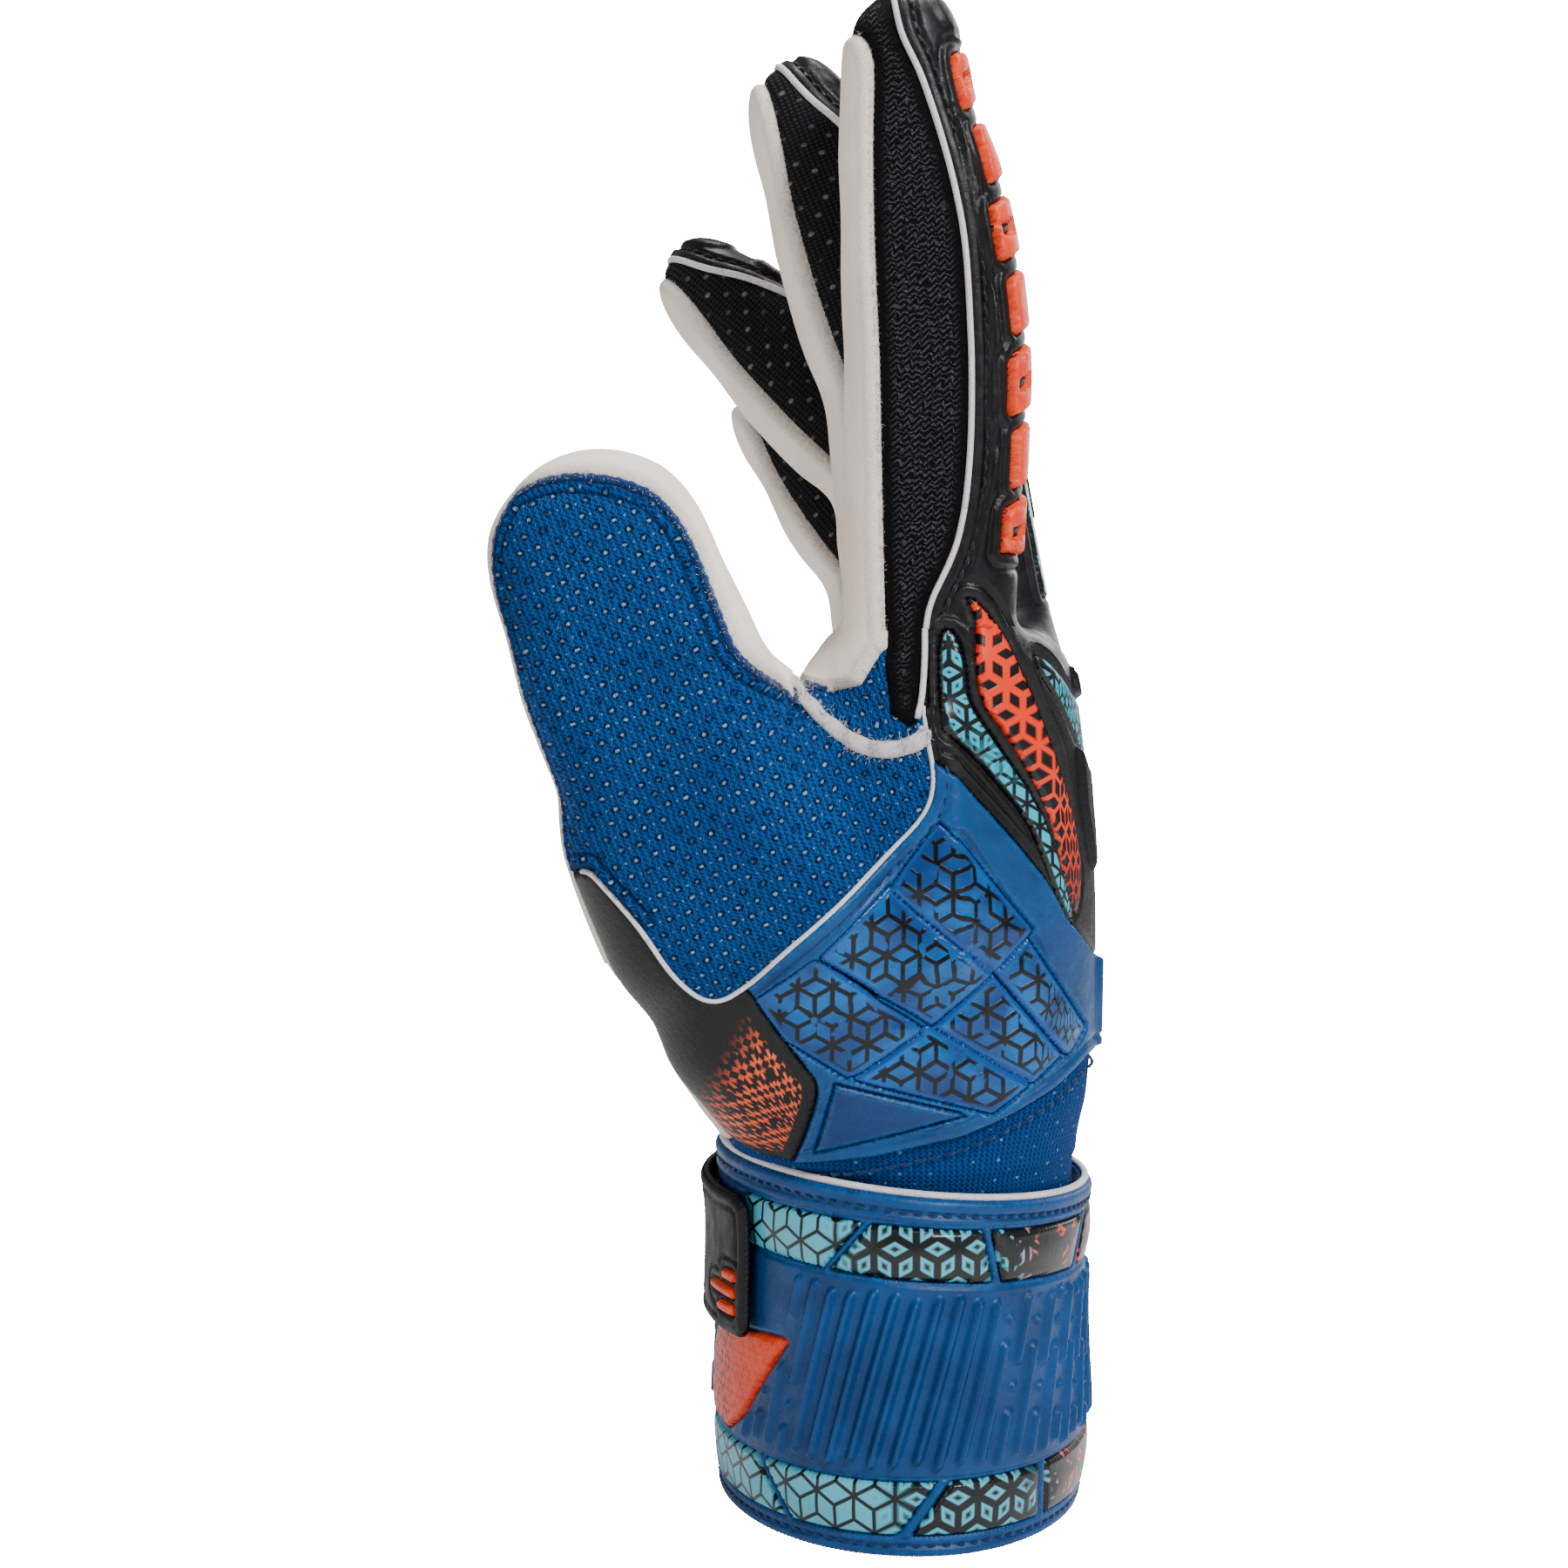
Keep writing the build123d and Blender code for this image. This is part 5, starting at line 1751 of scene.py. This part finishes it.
def black_knit_paint():
    m = Paint("black_knit", 0.8, Sheen_Weight=0.03, Sheen_Roughness=0.4, Sheen_Tint=srgb(160, 160, 165))
    wobble = (m.noise(0.5, 3, 0.6) - 0.5) * 2.6
    column = m.cell_of(m.u + wobble, 1.7)
    stitch = m.wave(m.v + wobble + abs(column) * 0.9, 1.0)
    strands = m.noise(2.6, 4, 0.8, m.vector(m.u, m.v * 2.2, 0.0))
    tone = stitch * m.ramp(strands, 0.3, 0.7)
    colour = m.mix(m.ramp(tone, 0.2, 0.85), srgb(4, 4, 5), srgb(92, 92, 94))
    fleck = m.ramp(m.noise(3.2, 3, 0.8), 0.66, 0.74)
    colour = m.mix(fleck * 0.35, colour, srgb(110, 110, 112))
    colour = m.mix(m.ramp(m.edge, 3.2, 1.2), colour, srgb(8, 8, 9))
    return m.finish(colour, [(stitch, 0.45), (strands, 0.35), (m.noise(0.5, 2), 0.7)])


def dotted_knit_paint():
    m = Paint("black_mesh", 0.75, Sheen_Weight=0.03, Sheen_Roughness=0.4, Sheen_Tint=srgb(150, 150, 155))
    holes = m.dots(4.4, 5.0, 0.55)
    weave = m.wave(m.u, 0.9) * m.wave(m.v, 0.7)
    colour = m.mix(weave, srgb(12, 12, 13), srgb(44, 44, 46))
    colour = m.mix(holes * m.ramp(m.noise(0.3, 3), 0.35, 0.6) * 0.7, colour, srgb(112, 112, 116))
    return m.finish(colour, [(weave, 0.2), (holes, -0.35)])


def wrist_paint():
    m = Paint("rib_knit", 0.8, Sheen_Weight=0.04, Sheen_Roughness=0.4, Sheen_Tint=srgb(70, 130, 190))
    wobble = m.noise(0.2, 2) - 0.5
    u = m.u + wobble
    stitch = m.wave(m.v + abs(m.cell_of(u, 1.1)) * 1.1, 0.85)
    rib = m.wave(u, 1.1)
    tone = (stitch + rib) * 0.5
    colour = m.mix(tone, srgb(1, 34, 76), srgb(8, 78, 140))
    holes = m.dots(5.2, 3.6, 0.34, u) * m.ramp(m.noise(0.4, 2), 0.45, 0.6)
    colour = m.mix(holes * 0.8, colour, srgb(120, 170, 205))
    return m.finish(colour, [(tone, 0.30), (m.noise(0.3, 2), 0.3)])


def rubber_paint(name, dark, light, roughness=0.42, coat=0.0, wear=None):
    """Moulded rubber: a fine grain, cloudy tone, and edges rubbed lighter."""
    m = Paint(name, roughness, Coat_Weight=coat, Coat_Roughness=0.25)
    colour = m.mix(m.ramp(m.noise(0.09, 4, 0.6), 0.3, 0.7), dark, light)
    if wear:
        rub = m.ramp(m.edge, 1.5, 0.5) * m.ramp(m.noise(0.8, 4, 0.7), 0.35, 0.65)
        colour = m.mix(rub * 0.5, colour, wear)
    grain = m.noise(4.5, 3, 0.7)
    shine = m.ramp(m.noise(0.3, 3), 0.3, 0.7, roughness - 0.06, roughness + 0.08)
    return m.finish(colour, [(grain, 0.045), (m.noise(0.6, 2), 0.12)], shine)


def cell_paint():
    m = Paint("printed_cells", 0.28, Coat_Weight=0.12, Coat_Roughness=0.16)
    lines = m.blocks(5.6, 0.72) * m.ramp(m.edge, 0.9, 1.5)
    lines = lines * m.ramp(m.noise(0.3, 1), 0.33, 0.37)
    # painted sheen: the lighter cloudy patches in the blue stand in for highlights on the glossy print
    glow = m.ramp(m.noise(0.10, 3), 0.38, 0.66)
    base = m.mix(glow, srgb(0, 60, 114), srgb(4, 104, 168))
    colour = m.mix(lines, base, srgb(1, 2, 4))
    # painted highlight: the blue is lighter within 0.9 mm of each cell's edge, where light catches its bevel
    colour = m.mix(m.ramp(m.edge, 0.9, 0.6), colour, srgb(1, 78, 142))
    return m.finish(colour, [(lines, 0.10), (m.noise(4.0, 2), 0.03), (m.noise(0.45, 2), 0.2)])


def cyan_paint():
    m = Paint("cyan_blocks", 0.34, Coat_Weight=0.3, Coat_Roughness=0.2)
    height = m.separate("rest")[2]
    upper = m.ramp(height, 126.0, 138.0)
    ground = 1.0 - m.blocks(4.4, 0.6)
    marks = m.outlines(5.0, 2.0, 0.8) * (1.0 - m.dots(5.0, 5.0 * math.sqrt(3), 0.8))
    share = ground * (1.0 - upper) + marks * upper
    share = share * m.ramp(m.edge, 0.5, 0.8)
    colour = m.mix(share, srgb(8, 9, 11), srgb(96, 190, 212))
    return m.finish(colour, [(share, 0.08), (m.noise(4.0, 2), 0.03)])


def coral_leaf_paint():
    m = Paint("coral_blocks", 0.36, Coat_Weight=0.25, Coat_Roughness=0.2)
    height = m.separate("rest")[2]
    upper = m.ramp(height, 126.0, 146.0)
    lines = m.blocks(5.6, 0.75) * (1.0 - upper) + m.blocks(5.6, 1.2) * upper
    fields = srgb(7, 7, 9)
    colour = m.mix(lines, fields, m.mix(m.ramp(height, 104, 124), srgb(150, 44, 30), srgb(244, 84, 52)))
    colour = m.mix(m.ramp(height, 151.0, 155.0) * m.ramp(m.edge, 0.6, 1.2), colour, srgb(244, 84, 52))
    return m.finish(colour, [(lines, 0.10), (m.noise(4.0, 2), 0.03)])


def gusset_paint():
    m = Paint("printed_gusset", 0.5, Coat_Weight=0.1, Coat_Roughness=0.3)
    broken = m.broken_blocks(5.4, 1.05, 0.95)
    lost = m.ramp(m.noise(0.35, 1), 0.62, 0.66)
    broken = broken * (1.0 - lost)
    height = m.separate("rest")[2]
    depth = m.separate("rest")[0]
    along = depth + (height - 78.0) * -0.55
    shown = m.ramp(along, -36.0, -27.0) * m.ramp(m.edge, 2.4, 2.8)
    colour = m.mix(broken * shown, srgb(6, 6, 7), srgb(250, 120, 92))
    colour = m.mix(m.ramp(m.noise(1.5, 3), 0.5, 0.7) * 0.25, colour, srgb(16, 16, 18))
    return m.finish(colour, [(broken, 0.05), (m.noise(3.0, 3), 0.08)])


def band_cell_paint():
    """The cuff's printed bands, from cyan on the thumb side to black and coral at the back."""
    m = Paint("band_print", 0.34, Coat_Weight=0.3, Coat_Roughness=0.2)
    thin = m.blocks(6.8, 0.6)
    marks = m.outlines(6.8, 2.5, 1.3) * (1.0 - m.dots(6.8, 6.8 * math.sqrt(3), 0.9))
    along = m.u + m.ramp(m.v, 20.0, 40.0, -9.0, 0.0)
    to_black = m.ramp(along, -18.0, -8.0)
    sparse = m.ramp(along, 7.0, 16.0) * m.ramp(m.noise(0.3, 2), 0.42, 0.5)
    dark_part = marks * (1.0 - sparse)
    ink_share = (1.0 - thin) * (1.0 - to_black) + dark_part * to_black
    far = m.ramp(m.u, -60.0, -78.0)
    ink_share = ink_share * (1.0 - far * (1.0 - marks))
    ink = m.mix(m.ramp(along, 16.0, 26.0), srgb(118, 196, 216), srgb(238, 78, 50))
    colour = m.mix(ink_share, srgb(8, 9, 11), ink)
    return m.finish(colour, [(ink_share, 0.06), (m.noise(4.0, 2), 0.03), (m.noise(0.5, 2), 0.1)])


def arrow_print():
    m = Paint("coral_panel", 0.42, Coat_Weight=0.15, Coat_Roughness=0.3)
    broken = m.broken_blocks(4.4, 0.9, 0.8) * m.ramp(m.noise(0.5, 1), 0.36, 0.42)
    shown = m.ramp(m.u, -40.0, -46.0)
    colour = m.mix(m.ramp(m.noise(0.1, 3), 0.3, 0.7), srgb(226, 76, 46), srgb(246, 96, 62))
    colour = m.mix(broken * (shown * 0.75 + 0.2), colour, srgb(84, 26, 20))
    return m.finish(colour, [(broken, -0.06), (m.noise(4.0, 2), 0.04)])


def thread_paint(name, dark, light):
    m = Paint(name, 0.7, Sheen_Weight=0.2)
    twist = m.noise(3.0, 2, 0.6)
    return m.finish(m.mix(twist, dark, light), [(twist, 0.1)])


def piping_paint():
    m = Paint("white_piping", 0.72, Sheen_Weight=0.2)
    weave = m.noise(2.4, 3, 0.7)
    dirt = m.ramp(m.noise(0.12, 4), 0.4, 0.75)
    colour = m.mix(m.ramp(weave, 0.3, 0.7), srgb(196, 192, 194), srgb(224, 221, 222))
    colour = m.mix(dirt * 0.35, colour, srgb(160, 156, 160))
    return m.finish(colour, [(weave, 0.22)])


def fuzz_paint(name, low, high):
    m = Paint(name, 0.95, Sheen_Weight=0.3)
    return m.finish(m.mix(m.noise(1.2, 3, 0.7), low, high), [(m.noise(3.0, 3), 0.2)])


MATERIALS.update({
    "latex": latex_paint(),
    "felt": latex_paint("latex_felt", True),
    "mesh": mesh_paint(),
    "rib": black_knit_paint(),
    "dots": dotted_knit_paint(),
    "wrist": wrist_paint(),
    "back": rubber_paint("black_rubber", srgb(7, 7, 8), srgb(15, 15, 17), 0.38, 0.0, srgb(40, 40, 43)),
    "plate": rubber_paint("blue_rubber", srgb(0, 58, 102), srgb(0, 74, 126), 0.38, 0.0, srgb(8, 104, 164)),
    "arrow": rubber_paint("blue_gloss_rubber", srgb(0, 48, 92), srgb(0, 60, 110), 0.36, 0.0,
                          srgb(8, 104, 164)),
    "band": rubber_paint("blue_band_rubber", srgb(0, 58, 104), srgb(0, 74, 128), 0.38, 0.0,
                         srgb(6, 100, 160)),
    "tab": rubber_paint("black_tab", srgb(4, 4, 5), srgb(10, 10, 12), 0.5, 0.0, srgb(24, 24, 26)),
    "chevron": rubber_paint("coral_rubber", srgb(228, 72, 44), srgb(246, 94, 60), 0.42, 0.1,
                            srgb(250, 130, 100)),
    "cell": cell_paint(),
    "cyan": cyan_paint(),
    "coral": coral_leaf_paint(),
    "printed": gusset_paint(),
    "band_cell": band_cell_paint(),
    "band_arrow": arrow_print(),
    "piping": piping_paint(),
    "blue_thread": thread_paint("blue_thread", srgb(2, 30, 66), srgb(6, 58, 108)),
    "black_thread": thread_paint("black_thread", srgb(10, 10, 12), srgb(34, 34, 37)),
    "blue_fuzz": fuzz_paint("blue_fuzz", srgb(3, 36, 80), srgb(6, 64, 122)),
    "grey_fuzz": fuzz_paint("grey_fuzz", srgb(168, 166, 168), srgb(214, 210, 206)),
    "lining": fuzz_paint("lining_fleece", srgb(28, 29, 33), srgb(52, 53, 58)),
    "hook": thread_paint("hook_tape", srgb(14, 14, 16), srgb(60, 60, 64)),
    "loop": fuzz_paint("loop_tape", srgb(10, 10, 12), srgb(48, 48, 52)),
    "label": thread_paint("woven_label", srgb(190, 190, 192), srgb(226, 226, 228)),
})


# ---------------------------------------- what each material reads


def flow_of(build):
    """Two coordinates along a panel's cloth, and the distance from its seam."""
    p = build["rest"]
    first = build["name"].split("_")[0]
    if first == "thumb" and build["kind"] != "printed":
        u, v = p @ THUMB.y, THUMB.local(p)[2]
    elif first in DIGITS:
        digit = DIGITS[first]
        a, _, _ = digit.local(p)
        wrap, s = finger_wrap(digit, p)
        u, v = (a if build["kind"] in ("rib", "dots") else wrap), s
    elif build["surface"] is CUFF or build["kind"] in ("wrist", "tab"):
        u, v = round_cuff(p), p[:, 2]
    elif build["kind"] == "mesh":
        u, v = p @ THUMB.y, (p - THUMB.o1) @ THUMB.z1
    elif build["kind"] == "printed":
        u, v = 0.85 * p[:, 0] - 0.5 * p[:, 1], p[:, 2]
    else:
        facing = smooth((p[:, 1] + 42) / 8)
        u, v = lerp(p[:, 0], p[:, 1] + 80, facing * smooth((p[:, 0] - 10) / 10)), p[:, 2]
    edge = build["edge"]
    if build["kind"] == "mesh":
        edge = np.where(way(THUMB, p) > 2, edge, NO_EDGE)
    return np.column_stack([u, v, edge])


REPLACES = {
    "hand_latex": "palm_latex", "hand_mesh": "thumb_side_mesh", "hand_plate": "backhand_lower",
    "cell_1": "backhand_cells", "arrow": "arrow_panel", "cyan_strip": "cyan_inlays",
    "coral_leaf": "coral_inlay", "hand_back": "backhand_upper", "thumb_gusset": "thumb_base_gusset",
    "little_gusset": "little_side_gusset", "wrist_knit": "wrist_elastic", "knit_lining": "hand_lining",
    "thumb_knuckle_mesh": "thumb_lower_back", "thumb_knuckle_latex": "thumb_lower_front",
    "thumb_tip_mesh": "thumb_upper_back", "thumb_tip_latex": "thumb_upper_front",
    "index_knuckle_chevrons": "index_lower_chevrons", "index_tip_chevrons": "index_upper_chevrons",
    "cuff_wrap": "cuff_band", "cuff_upper_cell_1": "cuff_upper_inlays",
            "cuff_lower_cell_1": "cuff_lower_inlays",
    "cuff_arrow_panel": "cuff_arrow", "closure_tab": "closure_flap", "closure_root": "strap_base",
    "cuff_top_piping": "cuff_piping",
}
for digit in FINGERS:
    for part, half in (("knuckle", "lower"), ("tip", "upper")):
        for panel, node in (("latex", "front"), ("back", "back"), ("gusset", "gusset")):
            REPLACES[f"{digit.name}_{part}_{panel}"] = f"{digit.name}_{half}_{node}"

SOFT_KINDS = "latex"


def place(obj, name, slot):
    if name in REPLACES:
        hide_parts(REPLACES[name])
    if name in ("closure_tab", "closure_bars"):
        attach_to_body(obj, "tab")
    else:
        attach(obj, name)


for build in builds:
    name, kind, n = build["name"], build["kind"], build["count"]
    inward = -build["surface"].normal(build["rest"][n:])
    obj = add_mesh(name, build["verts"], build["faces"], kind, flow_of(build), build["rest"],
                   np.concatenate([build["shade"], inward]))
    place(obj, name, PADDING[kind][3])
    kind == "latex"
for name, kind, slot, verts, faces in trims:
    place(add_mesh(name, verts, faces, kind), name, slot)


def repaint(node, kind):
    """A CAD node keeps its shape and gets the material, which reads the node's own vertices."""
    obj = frame["nodes"][node]
    points = np.array([v.co for v in obj.data.vertices]) * 1000
    for label in ("flow", "rest"):
        layer = obj.data.attributes.get(label) or obj.data.attributes.new(label, "FLOAT_VECTOR", "POINT")
        layer.data.foreach_set("vector", points.astype(np.float32).ravel())
    for slot in obj.material_slots:
        slot.material = MATERIALS[kind]


# ---------------------------------------- floor, light and camera


FLOOR_GLOW = 40.0


def add_floor():
    bpy.ops.mesh.primitive_plane_add(size=12, location=(0, 0, -0.0006))
    floor = bpy.context.object
    floor.name = "floor"
    material = bpy.data.materials.new("floor")
    material.use_nodes = True
    shader = material.node_tree.nodes["Principled BSDF"]
    shader.inputs["Base Color"].default_value = (0.9, 0.9, 0.9, 1)
    shader.inputs["Roughness"].default_value = 0.9
    # the sweep is as bright as the backdrop to the camera, and lights nothing
    path = material.node_tree.nodes.new("ShaderNodeLightPath")
    glow = material.node_tree.nodes.new("ShaderNodeMath")
    glow.operation = "MULTIPLY"
    glow.inputs[1].default_value = FLOOR_GLOW
    material.node_tree.links.new(path.outputs["Is Camera Ray"], glow.inputs[0])
    material.node_tree.links.new(glow.outputs[0], shader.inputs["Emission Strength"])
    shader.inputs["Emission Color"].default_value = (1, 1, 1, 1)
    floor.data.materials.append(material)


LIGHTS_AIM = (-0.01, 0, 0.13)


def add_light(name, at, size, power):
    light = bpy.data.lights.new(name, "AREA")
    light.shape = "DISK"
    light.size = size
    light.energy = power
    obj = bpy.data.objects.new(name, light)
    obj.location = at
    obj.rotation_euler = (Vector(LIGHTS_AIM) - Vector(at)).to_track_quat("-Z", "Y").to_euler()
    bpy.context.scene.collection.objects.link(obj)


add_floor()
AMBIENT = 0.34
BACKDROP = 40.0  # how bright the white background is to the camera alone
world = bpy.data.worlds.new("studio")
world.use_nodes = True
nodes, links = world.node_tree.nodes, world.node_tree.links
background = nodes["Background"]
background.inputs[0].default_value = (1, 1, 1, 1)
backdrop = nodes.new("ShaderNodeBackground")
backdrop.inputs[1].default_value = BACKDROP
background.inputs[1].default_value = AMBIENT
path = nodes.new("ShaderNodeLightPath")
either = nodes.new("ShaderNodeMixShader")
links.new(path.outputs["Is Camera Ray"], either.inputs[0])
links.new(background.outputs[0], either.inputs[1])
links.new(backdrop.outputs[0], either.inputs[2])
links.new(either.outputs[0], nodes["World Output"].inputs[0])
bpy.context.scene.world = world
add_light("key", (0.45, -0.75, 0.85), 0.35, 17.0)
add_light("fill", (-0.9, -0.7, 0.35), 0.7, 2.5)
add_light("top", (0.1, 0.1, 1.2), 0.5, 9.0)
add_light("back_light", (0.5, 0.9, 0.6), 0.8, 6.0)

CAMERA_AT = (-0.0218, -0.415, 0.1277)
camera = bpy.data.objects.new("camera", bpy.data.cameras.new("camera"))
camera.location = CAMERA_AT
camera.rotation_euler = (math.radians(90), 0, 0)
camera.data.lens = 51.4
camera.data.sensor_width = 36
camera.data.clip_start = 0.01
bpy.context.scene.collection.objects.link(camera)
bpy.context.scene.camera = camera

repaint("hook_patch", "hook")
repaint("loop_patch", "loop")
repaint("size_label", "label")
